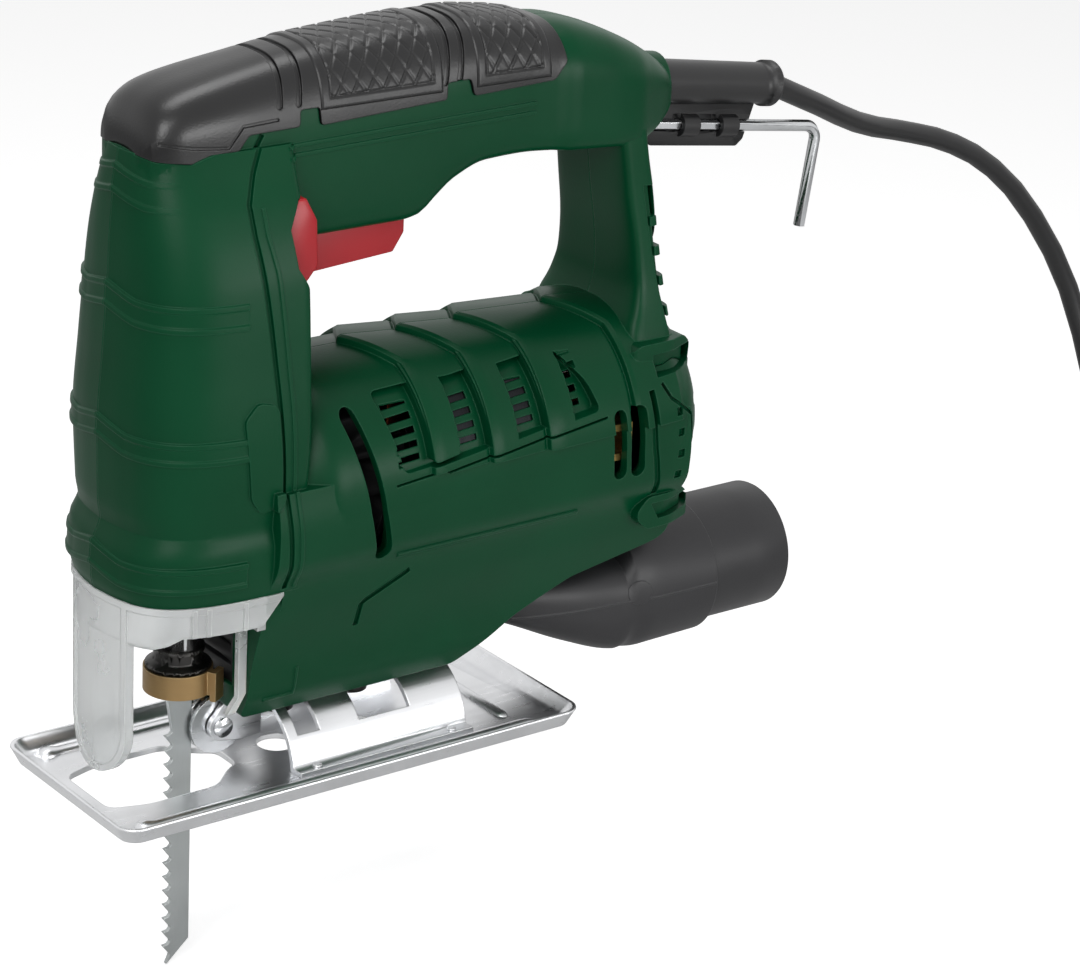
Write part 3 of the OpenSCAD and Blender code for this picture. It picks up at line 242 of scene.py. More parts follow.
def metal(name, look):
    # Drawn, ground or cast metal: cloudy colour, streaks in its shine and its relief, and paler edges, partly
    # wear and partly a painted highlight
    material, tree, shader, place = startFinish(name, look["metallic"])
    streak = patch(tree, place, look["squeeze"], look["grain"], 3)
    cloud = patch(tree, place, (1, 1, 1), 45, 3)
    soft, edge = rounded(tree, look["edgeRadius"])
    body = mixed(tree, spread(tree, cloud, 0, 1), scaled(look["colour"], 0.88), scaled(look["colour"], 1.04))
    # Edges blended halfway towards the pale edge colour: partly wear, partly a painted highlight along them
    wearAndHighlightBlend = mixed(tree, spread(tree, edge, 0, 0.5, 0, 1), body, look["wearAndHighlightColour"])
    closeFinish(tree, shader, look, wearAndHighlightBlend, streak, streak, soft)
    return material


def clearPlastic(name, look):
    # Clear polycarbonate: faint haze, a slight milkiness and fine scuffs
    material, tree, shader, place = startFinish(name, 0.0)
    haze = patch(tree, place, (1, 1, 1), 60, 4)
    scuff = patch(tree, place, (1, 6, 1), 420, 2)
    soft, edge = rounded(tree, look["edgeRadius"])
    shader.inputs["IOR"].default_value = 1.5
    tree.links.new(spread(tree, edge, look["clearness"], look["clearness"] * 0.7, 0, 1),
                   shader.inputs["Transmission Weight"])
    body = mixed(tree, spread(tree, haze, 0, 1), look["colour"], scaled(look["colour"], 0.97))
    closeFinish(tree, shader, look, body, haze, scuff, soft)
    return material


# Colours are on the usual 0 to 255 scale; grainDepth and edgeRadius are in millimetres
# The second colour and the amount after it make the edges paler: partly wear, partly a painted highlight
plasticTerms = ("colour", "wearAndHighlightColour", "wearAndHighlightAmount", "roughness", "specular", "grain", "grainDepth",
                "edgeRadius")
plasticLooks = {
    "greenNylon": ((0, 60, 34), (44, 106, 76), 0.4, (0.3, 0.4), 0.13, 1500, 0.018, 0.5),
    "gripRubber": ((15, 15, 16), (56, 55, 55), 0.4, (0.26, 0.38), 0.45, 1700, 0.03, 0.4),
    "redPlastic": ((160, 18, 28), (214, 84, 88), 0.4, (0.3, 0.4), 0.4, 1500, 0.01, 0.4),
    "blackNylon": ((23, 23, 24), (78, 78, 78), 0.35, (0.38, 0.5), 0.4, 1600, 0.015, 0.3),
    "greyNylon": ((33, 33, 35), (98, 98, 100), 0.35, (0.4, 0.52), 0.42, 1300, 0.02, 0.45),
    "sleeveRubber": ((26, 26, 27), (84, 84, 84), 0.3, (0.36, 0.5), 0.45, 1400, 0.02, 0.3),
    "cordRubber": ((20, 20, 21), (60, 60, 60), 0.1, (0.34, 0.46), 0.45, 1300, 0.015, 0.2),
    "carbon": ((38, 38, 40), (70, 70, 72), 0.3, (0.5, 0.65), 0.4, 900, 0.02, 0.2),
}
# The second colour makes the edges paler: partly wear, partly a painted highlight
metalTerms = ("colour", "wearAndHighlightColour", "roughness", "squeeze", "grain", "grainDepth", "edgeRadius", "metallic")
metalLooks = {
    "pressedSteel": ((226, 227, 229), (250, 250, 250), (0.26, 0.36), (1, 9, 9), 60, 0.0012, 0.5, 1.0),
    "brightSteel": ((208, 210, 212), (240, 240, 240), (0.16, 0.28), (1, 12, 12), 120, 0.003, 0.25, 1.0),
    "bladeSteel": ((178, 182, 182), (226, 230, 230), (0.3, 0.44), (14, 14, 1), 130, 0.005, 0.15, 1.0),
    "blackSteel": ((64, 63, 62), (130, 128, 124), (0.3, 0.42), (1, 1, 1), 500, 0.008, 0.25, 1.0),
    "bronzePaint": ((156, 128, 86), (205, 186, 146), (0.36, 0.5), (1, 1, 6), 300, 0.008, 0.3, 0.75),
    "laminatedIron": ((40, 41, 43), (70, 72, 74), (0.4, 0.55), (20, 1, 1), 90, 0.05, 0.2, 1.0),
    "copperWire": ((120, 60, 34), (170, 100, 66), (0.25, 0.4), (1, 18, 18), 90, 0.08, 0.4, 1.0),
    "brass": ((192, 158, 96), (222, 196, 140), (0.26, 0.4), (1, 1, 1), 400, 0.01, 0.2, 1.0),
    "castAlloy": ((168, 170, 174), (205, 206, 208), (0.4, 0.56), (1, 1, 1), 320, 0.04, 0.5, 1.0),
}
clearLook = {"colour": (0.93, 0.95, 0.95, 1.0), "clearness": 0.66, "roughness": (0.16, 0.3),
             "grainDepth": 0.002, "edgeRadius": 0.35}
finishes = {}
for maker, looks, terms in ((moulded, plasticLooks, plasticTerms), (metal, metalLooks, metalTerms)):
    for finish, row in looks.items():
        values = dict(zip(terms, row))
        values["colour"], values["wearAndHighlightColour"] = shade(*row[0]), shade(*row[1])
        finishes[finish] = maker(finish, values)
finishes["clearPlastic"] = clearPlastic("clearPlastic", clearLook)
print("finishes made:", len(finishes))


# Modelling helpers
def pick(thing):
    for other in bpy.context.selected_objects:
        other.select_set(False)
    bpy.context.view_layer.objects.active = thing
    thing.select_set(True)


def applyAll(piece):
    pick(piece)
    for modifier in list(piece.modifiers):
        bpy.ops.object.modifier_apply(modifier=modifier.name)


def editWhole(*steps):
    # Edit mode operators on the active piece, each with all of it selected
    bpy.ops.object.mode_set(mode="EDIT")
    for operator, settings in steps:
        bpy.ops.mesh.select_all(action="SELECT")
        operator(**settings)
    bpy.ops.object.mode_set(mode="OBJECT")


def roundEdges(piece, width, fromAngle):
    edges = piece.modifiers.new("roundedEdges", "BEVEL")
    edges.width = width * mm
    edges.segments = 2
    edges.limit_method = "ANGLE"
    edges.angle_limit = radians(fromAngle)
    applyAll(piece)


def named(piece, name):
    piece.name = name
    piece.data.name = name


def discard(piece):
    mesh = piece.data
    bpy.data.objects.remove(piece)
    bpy.data.meshes.remove(mesh)


def smooth(piece, angle=30):
    pick(piece)
    bpy.ops.object.shade_smooth_by_angle(angle=radians(angle))


def finishPiece(piece, body, finish, slot, *nodes):
    piece.data.materials.clear()
    piece.data.materials.append(finishes[finish])
    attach(piece, body)
    if nodes:
        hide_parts(*nodes)
    return piece


def mergedCopy(node, name):
    # A welded copy of a frame piece, free to be worked on
    pick(frame["nodes"][node])
    bpy.ops.object.duplicate()
    piece = bpy.context.object
    named(piece, name)
    piece.parent = None
    del piece["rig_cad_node"]
    editWhole((bpy.ops.mesh.remove_doubles, {"threshold": 0.002 * mm}))
    return piece


def dressed(node, finish, slot, bevel=0.0, name=None):
    piece = mergedCopy(node, name or node + "_finished")
    if bevel:
        editWhole((bpy.ops.mesh.dissolve_limited, {"angle_limit": radians(0.4)}))
        roundEdges(piece, bevel, 40)
    smooth(piece)
    return finishPiece(piece, frame["nodes"][node]["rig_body"], finish, slot, node)


# Mains cord
cordSet = {"diameter": 6, "route": [
    (146.2, 0, 158.5), (154, 0.5, 154.9), (166.5, 2.5, 149.3), (176, 5, 144.8), (186, 8, 140.5),
    (195, 10, 137.4), (204, 11.5, 135), (212, 12, 132.8), (220, 12, 130.5), (228, 12, 127.4),
    (236.2, 12, 123.4), (244.7, 12, 117.9), (253.6, 12, 110.6), (263, 12, 100.7), (272.6, 12, 88.6),
    (280, 11, 76), (284.6, 8, 62), (286.6, 3, 47), (286.6, -4, 33), (285.6, -12, 20.5), (284.2, -21, 11),
    (283.4, -30, 5.6), (284.2, -39, 3.4), (287, -48, 3)],
    "coilAt": (335, -28), "outerTurn": 45, "innerTurn": 27, "turnPoints": 24, "layerRise": 6.1,
    "startAngle": 202.6, "leadIn": 7, "leadTurns": 0.15, "climb": 2.6, "wound": 6.36,
    "plugEnd": (358, 8.2), "plugBend": 30,
    "leaving": [(341, 45.6, 9.4), (350, 48, 10.4), (359, 50.6, 11.6)],
    "rising": [(6, 12.8), (24, 14.6), (40, 16.2), (56, 17.6), (72, 18.6), (90, 19)]}


def around(centre, radius, degrees, height):
    angle = radians(degrees)
    return centre[0] + radius * cos(angle), centre[1] + radius * sin(angle), height


def coilPoints(look):
    # Three turns inwards on the surface, half a turn up, nearly three outwards on top, then into the plug
    points = []
    perTurn = look["turnPoints"]
    fall = look["outerTurn"] - look["innerTurn"]
    low = look["diameter"] / 2
    for step in range(1, int(look["wound"] * perTurn) + 1):
        turn = step / perTurn
        if turn <= 3:
            radius, height = look["outerTurn"] - fall * turn / 3, low
            radius += look["leadIn"] * max(0, 1 - turn / look["leadTurns"]) ** 2
        elif turn <= 3.5:
            radius = look["innerTurn"]
            height = low + look["layerRise"] * sin(pi / 2 * min(1, (turn - 3) * look["climb"]))
        else:
            radius, height = look["innerTurn"] + fall * (turn - 3.5) / 3, low + look["layerRise"]
        points.append(around(look["coilAt"], radius, look["startAngle"] + 360 * turn, height))
    points += [around(look["coilAt"], radius, degrees, height)
               for degrees, radius, height in look["leaving"]]
    plugX, plugY = look["plugEnd"]
    points += [around((plugX, plugY - look["plugBend"]), look["plugBend"], degrees, height)
               for degrees, height in look["rising"]]
    return points


def addCord(look):
    points = look["route"] + coilPoints(look)
    curve = bpy.data.curves.new("mainsCord", "CURVE")
    curve.dimensions = "3D"
    curve.bevel_depth = look["diameter"] / 2 * mm
    curve.bevel_resolution = 4
    curve.use_fill_caps = True
    spline = curve.splines.new("POLY")
    spline.points.add(len(points) - 1)
    for knot, place in zip(spline.points, points):
        knot.co = (place[0] * mm, place[1] * mm, place[2] * mm, 1)
    cord = bpy.data.objects.new("mainsCord", curve)
    bpy.context.scene.collection.objects.link(cord)
    finishPiece(cord, "housing", "cordRubber", "cord_rubber", "cord", "cord_coil")


plugLook = {"shift": 7, "pinRoot": 315.2, "edge": 0.6}


def addPlug(look):
    # Black body with bright pins; its faces in front of the pins' root take the second finish
    plug = dressed("mains_plug", "blackNylon", "cord_rubber", look["edge"], "mainsPlug")
    plug.data.materials.append(finishes["brightSteel"])
    for face in plug.data.polygons:
        if face.center.x < look["pinRoot"] * mm:
            face.material_index = 1
    for point in plug.data.vertices:
        point.co.x += look["shift"] * mm


addPlug(plugLook)
dressed("cord_sleeve", "sleeveRubber", "cord_rubber")
addCord(cordSet)


# Housing skin
housing = {
    "case": {"floor": 57, "centre": -20, "rear": 5, "power": 3.3, "seamNose": 0.9, "corner": 11,
             "rows": [(0, -60.6, 26.2), (3, -61.4, 27.0), (10, -61.5, 28.2), (14, -60.7, 28.2),
                      (18, -58.9, 27.0), (23, -59.6, 27.5), (42, -59.8, 28.9), (60, -58.6, 28.0),
                      (79, -57.2, 26.6), (88, -56.8, 24.8), (97, -56.2, 22.0), (103, -55.6, 19.6),
                      (111, -54.4, 16.6)]},
    "column": {"front": -42, "power": 3.4,
               "rows": [(95, -10.6, 26), (110, -10.2, 24), (125, -9.8, 21.3), (134, -8.8, 19.6),
                        (141, -8.6, 18.4), (150, -8.8, 17.2), (168, -9.2, 15.2)]},
    "handle": {"half": 15.2, "power": 2.9, "lowPower": 7,
               "rows": [(-54.4, 160, 169.5, -7.7), (-53.2, 157, 175.5, -4.2), (-50.5, 156, 179.3, -2.2),
                        (-45, 155, 182, -0.6), (-36, 152, 184, 0), (-22, 146, 186.2, 0),
                        (-10, 141.8, 188, 0), (18, 141.8, 190, 0), (23, 142.6, 190.2, 0),
                        (27, 145.8, 190.4, 0), (33, 150.4, 190.4, 0), (43, 154, 190, 0),
                        (54, 154.4, 188.6, 0), (64, 153.8, 186.6, 0.2), (68, 153.4, 186.4, 1.6),
                        (80, 152.6, 183.4, 1.6), (90, 152, 179.2, 0.6), (96, 152.8, 176, -2.4),
                        (101, 154.4, 172.8, -5), (105, 156.8, 169.8, -7.2), (106.6, 158, 168.2, -8.4)]},
    "strut": {"power": 6,
              "rows": [(92.6, 86, 103, 24), (98, 85, 102.4, 23.2), (104, 85.6, 101.4, 21.6),
                       (110, 88.2, 100.6, 19.8), (117, 89.6, 99.7, 18.2), (125, 89.2, 98.7, 17.2),
                       (140, 86.7, 96.6, 16), (150, 85.2, 94.6, 15.6), (166.4, 82.4, 92.4, 14.6)]},
    "barrel": {"axis": 77.6, "radius": 31,
               "rows": [(-18, 26), (-8, 31), (97.4, 31), (101.3, 29.5), (105.7, 26), (108.6, 21)]},
    "foot": {"section": [(18.8, 14), (25.2, 17.2), (34, 19), (49, 23.8), (58, 26.4), (66, 30.4),
                         (73, 30.9), (84, 29.4)],
             "profile": [(-27.3, 90), (-27.3, 18.8), (38, 18.8), (54, 30.2), (71, 38.6), (97, 44.4),
                         (100, 46), (101, 49), (101, 90)]},
    "bumpers": [{"heights": (91, 101.9), "front": 82.5, "half": 25.6},
                {"heights": (51.4, 60.4), "front": 86, "half": 28.8}],
    "screws": [(-47, 160, 11), (-22, 128, 12), (44, 163, 9), (76, 166, 10), (97, 122, 9), (101, 55, 18),
               (30, 32, 13), (-16.5, 34, 13)],
    "straps": (19, 37, 55),
    "bands": [(13.4, 6.6), (45.7, 5.6), (79, 6.2), (107.6, 6.8)],
    "scales": [(8, 27), (26, 45), (44, 73), (72, 90)],
    "bores": [(-26, 77.6, 14.2, 16.4), (-26, 100, 14.2, 14.4), (-26, 100, 8.8, 21.2), (-17, 77.6, 12, 12.1),
              (84.6, 77.6, 7.1, 9.6)],
    "rooms": [(-26, -11.8, 14.4, 77.6, 100), (-26, -11.8, 10.4, 59.7, 75.7), (-20, -11.8, 5.9, 101, 148),
              (-8.75, 22.95, 7.95, 138, 150), (40, 60, 8.1, 24.5, 31.5), (-40, -23.3, 10.1, 26.3, 53.7),
              (-34.9, -18, 3.25, 16.8, 21.0)],
    "wall": 2.4, "points": 128, "spacing": 2.2,
}
sleeveAxis = {"start": (104.6, 0, 164.2), "tilt": 7.8}


def bent(value, power):
    return copysign(abs(value) ** power, value)


def oval(middle, high, halfWide, halfHigh, power, count, lowPower=0):
    points = []
    for step in range(count):
        angle = 2 * pi * step / count
        curve = 2 / (lowPower if lowPower and sin(angle) < 0 else power)
        points.append((middle + halfWide * bent(cos(angle), curve),
                       high + halfHigh * bent(sin(angle), curve)))
    return points


def eased(rows, spacing):
    # Rows between the given ones, on curves that never overshoot them
    wide = len(rows[0])
    gaps = [b[0] - a[0] for a, b in zip(rows, rows[1:])]
    falls = [[(b[k] - a[k]) / gap for k in range(wide)] for a, b, gap in zip(rows, rows[1:], gaps)]
    slopes = [falls[0]]
    for before, after in zip(falls, falls[1:]):
        slopes.append([2 * p * q / (p + q) if p * q > 0 else 0.0 for p, q in zip(before, after)])
    slopes.append(falls[-1])
    out = []
    for index, gap in enumerate(gaps):
        steps = max(1, ceil(gap / spacing))
        for step in range(steps):
            t = step / steps
            keep, leave, arrive = 1 - 3 * t * t + 2 * t ** 3, t - 2 * t * t + t ** 3, t ** 3 - t * t
            out.append([keep * rows[index][k] + (1 - keep) * rows[index + 1][k]
                        + gap * (leave * slopes[index][k] + arrive * slopes[index + 1][k])
                        for k in range(wide)])
    return out + [list(rows[-1])]


def rowAt(rows, place):
    # Straight between the two rows on either side of a place, or the end row beyond them
    place = min(max(place, rows[0][0]), rows[-1][0])
    index = max(k for k in range(len(rows) - 1) if rows[k][0] <= place)
    first, second = rows[index], rows[index + 1]
    share = (place - first[0]) / (second[0] - first[0])
    return [a + (b - a) * share for a, b in zip(first, second)]


def shaped(name, points):
    # The primitive just added takes its name and the places of its points
    piece = bpy.context.object
    piece.name = name
    piece.location = (0, 0, 0)
    piece.data.vertices.foreach_set("co", [value * mm for point in points for value in point])
    piece.data.update()
    return piece


def wrapped(name, rings):
    # A grid wrapped round the rings, its seam merged and its ends closed
    bpy.ops.mesh.primitive_grid_add(x_subdivisions=len(rings[0]), y_subdivisions=len(rings) - 1, size=0.001)
    piece = shaped(name, [point for ring in rings for point in ring + ring[:1]])
    editWhole((bpy.ops.mesh.remove_doubles, {"threshold": 0.001 * mm}),
              (bpy.ops.mesh.fill_holes, {"sides": 0}),
              (bpy.ops.mesh.normals_make_consistent, {"inside": False}))
    return piece


def prism(name, outline, start, reach):
    # An outline's face pulled along a straight reach; each point of the outline is a place in space
    bpy.ops.mesh.primitive_circle_add(vertices=len(outline), radius=0.001, fill_type="NGON")
    piece = shaped(name, [Vector(point) + Vector(start) for point in outline])
    move = {"value": tuple(Vector(reach) * mm)}
    editWhole((bpy.ops.mesh.extrude_region_move, {"TRANSFORM_OT_translate": move}),
              (bpy.ops.mesh.normals_make_consistent, {"inside": False}),
              (bpy.ops.mesh.quads_convert_to_tris, {}))
    return piece


def sidePrism(outline, low=-50, high=50):
    # Outline in X and Z, from one Y to another, or through the whole width
    return prism("sideTool", [(x, 0, z) for x, z in outline], (0, low, 0), (0, high - low, 0))


def settled():
    bpy.ops.object.transform_apply(location=True, rotation=True, scale=True)
    return bpy.context.object


def drill(start, along, length, radius, count=32):
    # Round tool from its start along an axis
    axis = Vector(along).normalized()
    middle = (Vector(start) + axis * length / 2) * mm
    bpy.ops.mesh.primitive_cylinder_add(vertices=count, radius=radius * mm, depth=length * mm,
                                        location=middle, rotation=axis.to_track_quat("Z", "Y").to_euler())
    return settled()


def block(low, high):
    size = Vector(high) - Vector(low)
    bpy.ops.mesh.primitive_cube_add(size=1, location=(Vector(low) + size / 2) * mm, scale=size * mm)
    return settled()


def midBlock(front, rear, half, low, high):
    # Block that reaches as far to the left as to the right
    return block((front, -half, low), (rear, half, high))


def combine(target, tool, operation):
    step = target.modifiers.new("combine", "BOOLEAN")
    step.operation = operation
    step.solver = "MANIFOLD"
    step.object = tool
    applyAll(target)
    discard(tool)
    return target


def cut(target, *tools):
    for tool in tools:
        combine(target, tool, "DIFFERENCE")
    return target


def within(target, tool):
    return combine(target, tool, "INTERSECT")


def slotOutline(start, end, radius, count=8):
    # Round-ended slot between two places
    angle = atan2(end[1] - start[1], end[0] - start[0])
    points = []
    for centre, turn in ((end, angle - pi / 2), (start, angle + pi / 2)):
        points += [(centre[0] + radius * cos(turn + pi * k / count),
                    centre[1] + radius * sin(turn + pi * k / count)) for k in range(count + 1)]
    return points


def union(pieces):
    whole = pieces[0]
    for piece in pieces[1:]:
        combine(whole, piece, "UNION")
    return whole


def copied(piece):
    pick(piece)
    bpy.ops.object.duplicate()
    return bpy.context.object


def square(x, z, reach):
    return [(x - reach, z - reach), (x + reach, z - reach), (x + reach, z + reach), (x - reach, z + reach)]


def twinBlocks(low, high):
    # A block on the right flank and its mirror image on the left
    return [block((low[0], -high[1], low[2]), (high[0], -low[1], high[2])), block(low, high)]


def bothSides(outline, near, far):
    # The same outline pushed through the left flank and the right flank
    return union([sidePrism(outline, -far, -near), sidePrism(outline, near, far)])


def corners(outline):
    # Each point of an outline with the one before it and the one after it
    return zip(outline[-1:] + outline[:-1], outline, outline[1:] + outline[:1])


def grownOutline(outline, grow):
    # Each corner pushed outwards from its two sides; the outline runs anticlockwise
    out = []
    for before, here, after in corners(outline):
        first = (Vector(here) - Vector(before)).normalized()
        second = (Vector(after) - Vector(here)).normalized()
        outward = Vector((first.y + second.y, -first.x - second.x))
        out.append(tuple(Vector(here) + outward * grow / (1 + first.dot(second))))
    return out


def softOutline(outline, radius, count=4):
    # Corners drawn as short curves
    out = []
    for before, here, after in corners(outline):
        corner = Vector(here)
        back, ahead = Vector(before) - corner, Vector(after) - corner
        start = corner + back.normalized() * min(radius, back.length * 0.45)
        end = corner + ahead.normalized() * min(radius, ahead.length * 0.45)
        for step in range(count + 1):
            t = step / count
            out.append(tuple(start * (1 - t) ** 2 + corner * 2 * t * (1 - t) + end * t ** 2))
    return out


def stripOutline(line, radius):
    # A band of even width along a line of places
    left, right = [], []
    for index, here in enumerate(line):
        before, after = line[max(index - 1, 0)], line[min(index + 1, len(line) - 1)]
        along = (Vector(after) - Vector(before)).normalized()
        side = Vector((-along.y, along.x)) * radius
        left.append(tuple(Vector(here) + side))
        right.append(tuple(Vector(here) - side))
    return right + left[::-1]


# Housing form
def caseRing(nose, half, grow, count):
    look = housing["case"]
    middle, out = look["centre"], []
    for along, side in oval(0, 0, 1, half + grow, look["power"], count):
        reach = middle - nose + grow if along < 0 else look["rear"] + grow
        ridge = look["seamNose"] * max(0, 1 - abs(side) / look["corner"]) if along < 0 else 0
        out.append((middle + along * reach - ridge, side))
    return out


def caseForm(grow, count, spacing):
    look = housing["case"]
    rings = []
    for height, nose, half in eased(look["rows"], spacing):
        z = look["floor"] + height - (grow if height == 0 else 0)
        rings.append([(x, y, z) for x, y in caseRing(nose, half, grow, count)])
    return wrapped("caseForm", rings)


def uprightForm(name, rows, power, grow, count):
    # Rows of height, front, rear and half width
    rings = []
    for height, front, rear, half in rows:
        ring = oval((front + rear) / 2, 0, (rear - front) / 2 + grow, half + grow, power, count)
        rings.append([(x, y, height) for x, y in ring])
    return wrapped(name, rings)


def columnForm(grow, count, spacing):
    look = housing["column"]
    rows = [(height, look["front"], rear, half) for height, rear, half in eased(look["rows"], spacing)]
    return uprightForm("columnForm", rows, look["power"], grow, count)


def lyingRing(station, low, high, half, grow, power, count, lowPower=0):
    ring = oval(0, (low + high) / 2, half + grow, (high - low) / 2 + grow, power, count, lowPower)
    return [(station, y, z) for y, z in ring]


def handleForm(grow, count, spacing):
    look = housing["handle"]
    return wrapped("handleForm", [lyingRing(station, low, high, look["half"] + change, grow, look["power"],
                                            count, look["lowPower"])
                                  for station, low, high, change in eased(look["rows"], spacing)])


def strutForm(grow, count, spacing):
    look = housing["strut"]
    return uprightForm("strutForm", eased(look["rows"], spacing), look["power"], grow, count)


def hoop(station, radius, axis, count, sweep=0):
    # Circle about an axis along X at its height; the sweep carries its flanks rearward
    points = []
    for step in range(count):
        turn = 360 * step / count
        lag = sweep * min(1, min(turn, 360 - turn) / 28)
        angle = radians(turn)
        points.append((station + lag, -radius * sin(angle), axis + radius * cos(angle)))
    return points


def endShift(rows, station, grow):
    return -grow if station == rows[0][0] else grow if station == rows[-1][0] else 0


def barrelForm(grow, count, spacing):
    look = housing["barrel"]
    rows, axis = look["rows"], look["axis"]
    return wrapped("barrelForm", [hoop(x + endShift(rows, x, grow), radius + grow, axis, count)
                                  for x, radius in eased(rows, spacing)])


def footForm(grow, spacing):
    look = housing["foot"]
    rows = eased(look["section"], 1.6)
    low, high = rows[0][0], rows[-1][0]
    flank = [(half + grow, z - grow if z == low else z + grow if z == high else z) for z, half in rows]
    ring = [(-y, z) for y, z in flank[::-1]] + flank
    front, rear = look["profile"][0][0] - grow, look["profile"][-1][0] + grow
    steps = ceil((rear - front) / spacing)
    stations = [front + (rear - front) * k / steps for k in range(steps + 1)]
    piece = wrapped("footForm", [[(x, y, z) for y, z in ring] for x in stations])
    return within(piece, sidePrism(grownOutline(softOutline(look["profile"], 2), grow)))


def bumperForm(look, grow):
    low, high = look["heights"][0] - grow, look["heights"][1] + grow
    half, front = look["half"], look["front"] - grow
    flank = [(84, half), (97, half - 0.2), (106, half - 4), (110.6, half - 12.8)]
    plan = [(x, -y) for x, y in flank] + [(111.6, 0)] + flank[::-1]
    plan = grownOutline(softOutline(plan, 2.2), grow)
    piece = prism("bumperForm", [(x, y, 0) for x, y in plan], (0, 0, 20), (0, 0, 110))
    side = [(front, low + 3), (front + 3.4, low), (118, low), (118, high - 9), (108, high - 5), (102.4, high),
            (front + 3.4, high), (front, high - 3.4)]
    return within(piece, sidePrism(softOutline(side, 1.4)))


def bodyForm(grow, coarse=1):
    count, spacing = housing["points"] // coarse, housing["spacing"] * coarse
    return union([caseForm(grow, count, spacing), columnForm(grow, count, spacing),
                  handleForm(grow, count, spacing), strutForm(grow, count, spacing),
                  barrelForm(grow, count, spacing), footForm(grow, spacing)]
                 + [bumperForm(look, grow) for look in housing["bumpers"]])


def caseBand(top, wide):
    # Chevron strip with two raised lips, its corners dipping away from the seam
    look = housing["case"]
    steps = [(top - wide - 0.6, -1.0), (top - wide, 0.75), (top - wide + 1.1, 0.75), (top - wide + 1.5, 0.4),
             (top - 1.5, 0.4), (top - 1.1, 0.75), (top, 0.75), (top + 0.6, -1.0)]
    rings = []
    for height, grow in steps:
        nose, half = rowAt(look["rows"], height)[1:]
        rings.append([(x, y, look["floor"] + height - 2.4 * min(1, abs(y) / look["corner"]))
                      for x, y in caseRing(nose, half, grow, housing["points"] * 2)])
    piece = wrapped("caseBand", rings)
    tab = [(-80, 30), (-36, 30), (-35, 32), (-35, 200), (-80, 200)]
    return within(piece, sidePrism(tab))


def barrelScale(start, end):
    radius, axis, count = housing["barrel"]["radius"], housing["barrel"]["axis"], housing["points"]
    # A steep front, a crest that falls rearward in six steps, and a short rear
    profile = [(start, -0.6), (start + 0.5, 1.5)]
    profile += [(start + 1.8 + (end - start - 3.8) * k / 6, 1.9 - 1.3 * k / 6) for k in range(7)]
    profile.append((end, -0.6))
    rings = [hoop(station, radius + rise, axis, count, 9) for station, rise in profile]
    return within(wrapped("barrelScale", rings), midBlock(start - 2, end + 14, 50, axis + 4, axis + 50))


def strapOutline(x):
    return softOutline([(x - 1.4, 85), (x + 6.6, 86), (x + 6.4, 107.6), (x - 2.2, 107)], 0.8)


ventOutline = softOutline([(5, 102), (9.4, 83), (70.5, 88.6), (68, 96), (62, 103.5)], 2)
padOutline = [(-37, 105), (-34.4, 84), (-31.6, 80), (-27.4, 80.6), (-25.4, 84), (-26.6, 104), (-28.6, 108),
              (-33.4, 109)]
lockOutline = [(-20.4, 140), (-17, 134.4), (-14.8, 134.4), (-11.8, 138), (-12.4, 149.6), (-15.6, 155.4),
               (-18, 155.4), (-21.4, 149)]
gripOutline = [(-52.5, 167.2), (-34, 165.2), (-29, 171.4), (-14.6, 171.6), (-14.4, 175.6), (-8.8, 175.6),
               (-8.4, 171.2), (28.2, 172.8), (28.4, 177), (35.4, 177.2), (36.6, 172.8), (61.2, 173.8),
               (65, 178), (62, 200), (-70, 200), (-70, 172.6)]


def gripForm(gap, count, spacing):
    # Band over the top of the handle, standing a little proud of it
    band = within(handleForm(0.7, count, spacing),
                  sidePrism(grownOutline(softOutline(gripOutline, 0.9), gap)))
    return cut(band, handleForm(-1.2, count, spacing))


def raisedRelief(body):
    # Straps, side pad and trim lines, following the skin at their own height
    lines = [stripOutline([(9.6, 60.4), (66, 60.8)], 0.6), stripOutline([(-18, 164.6), (56, 166)], 0.45),
             stripOutline([(-18, 167), (56, 168.4)], 0.45),
             stripOutline([(-22.4, 23.6), (-13.6, 23.8), (-13.6, 31.6)], 0.4),
             stripOutline([(-20.6, 58), (-21.2, 72), (-23.4, 106), (-26.6, 140), (-28.4, 149),
                           (-28.6, 155)], 0.5)]
    strapTool = union([bothSides(strapOutline(x), 6, 36) for x in housing["straps"]]
                      + [bothSides(softOutline(padOutline, 1.4), 6, 36)])
    within(strapTool, bodyForm(0.9))
    lineTool = union([bothSides(line, 6, 36) for line in lines])
    within(lineTool, bodyForm(0.5))
    return union([body, strapTool, lineTool])


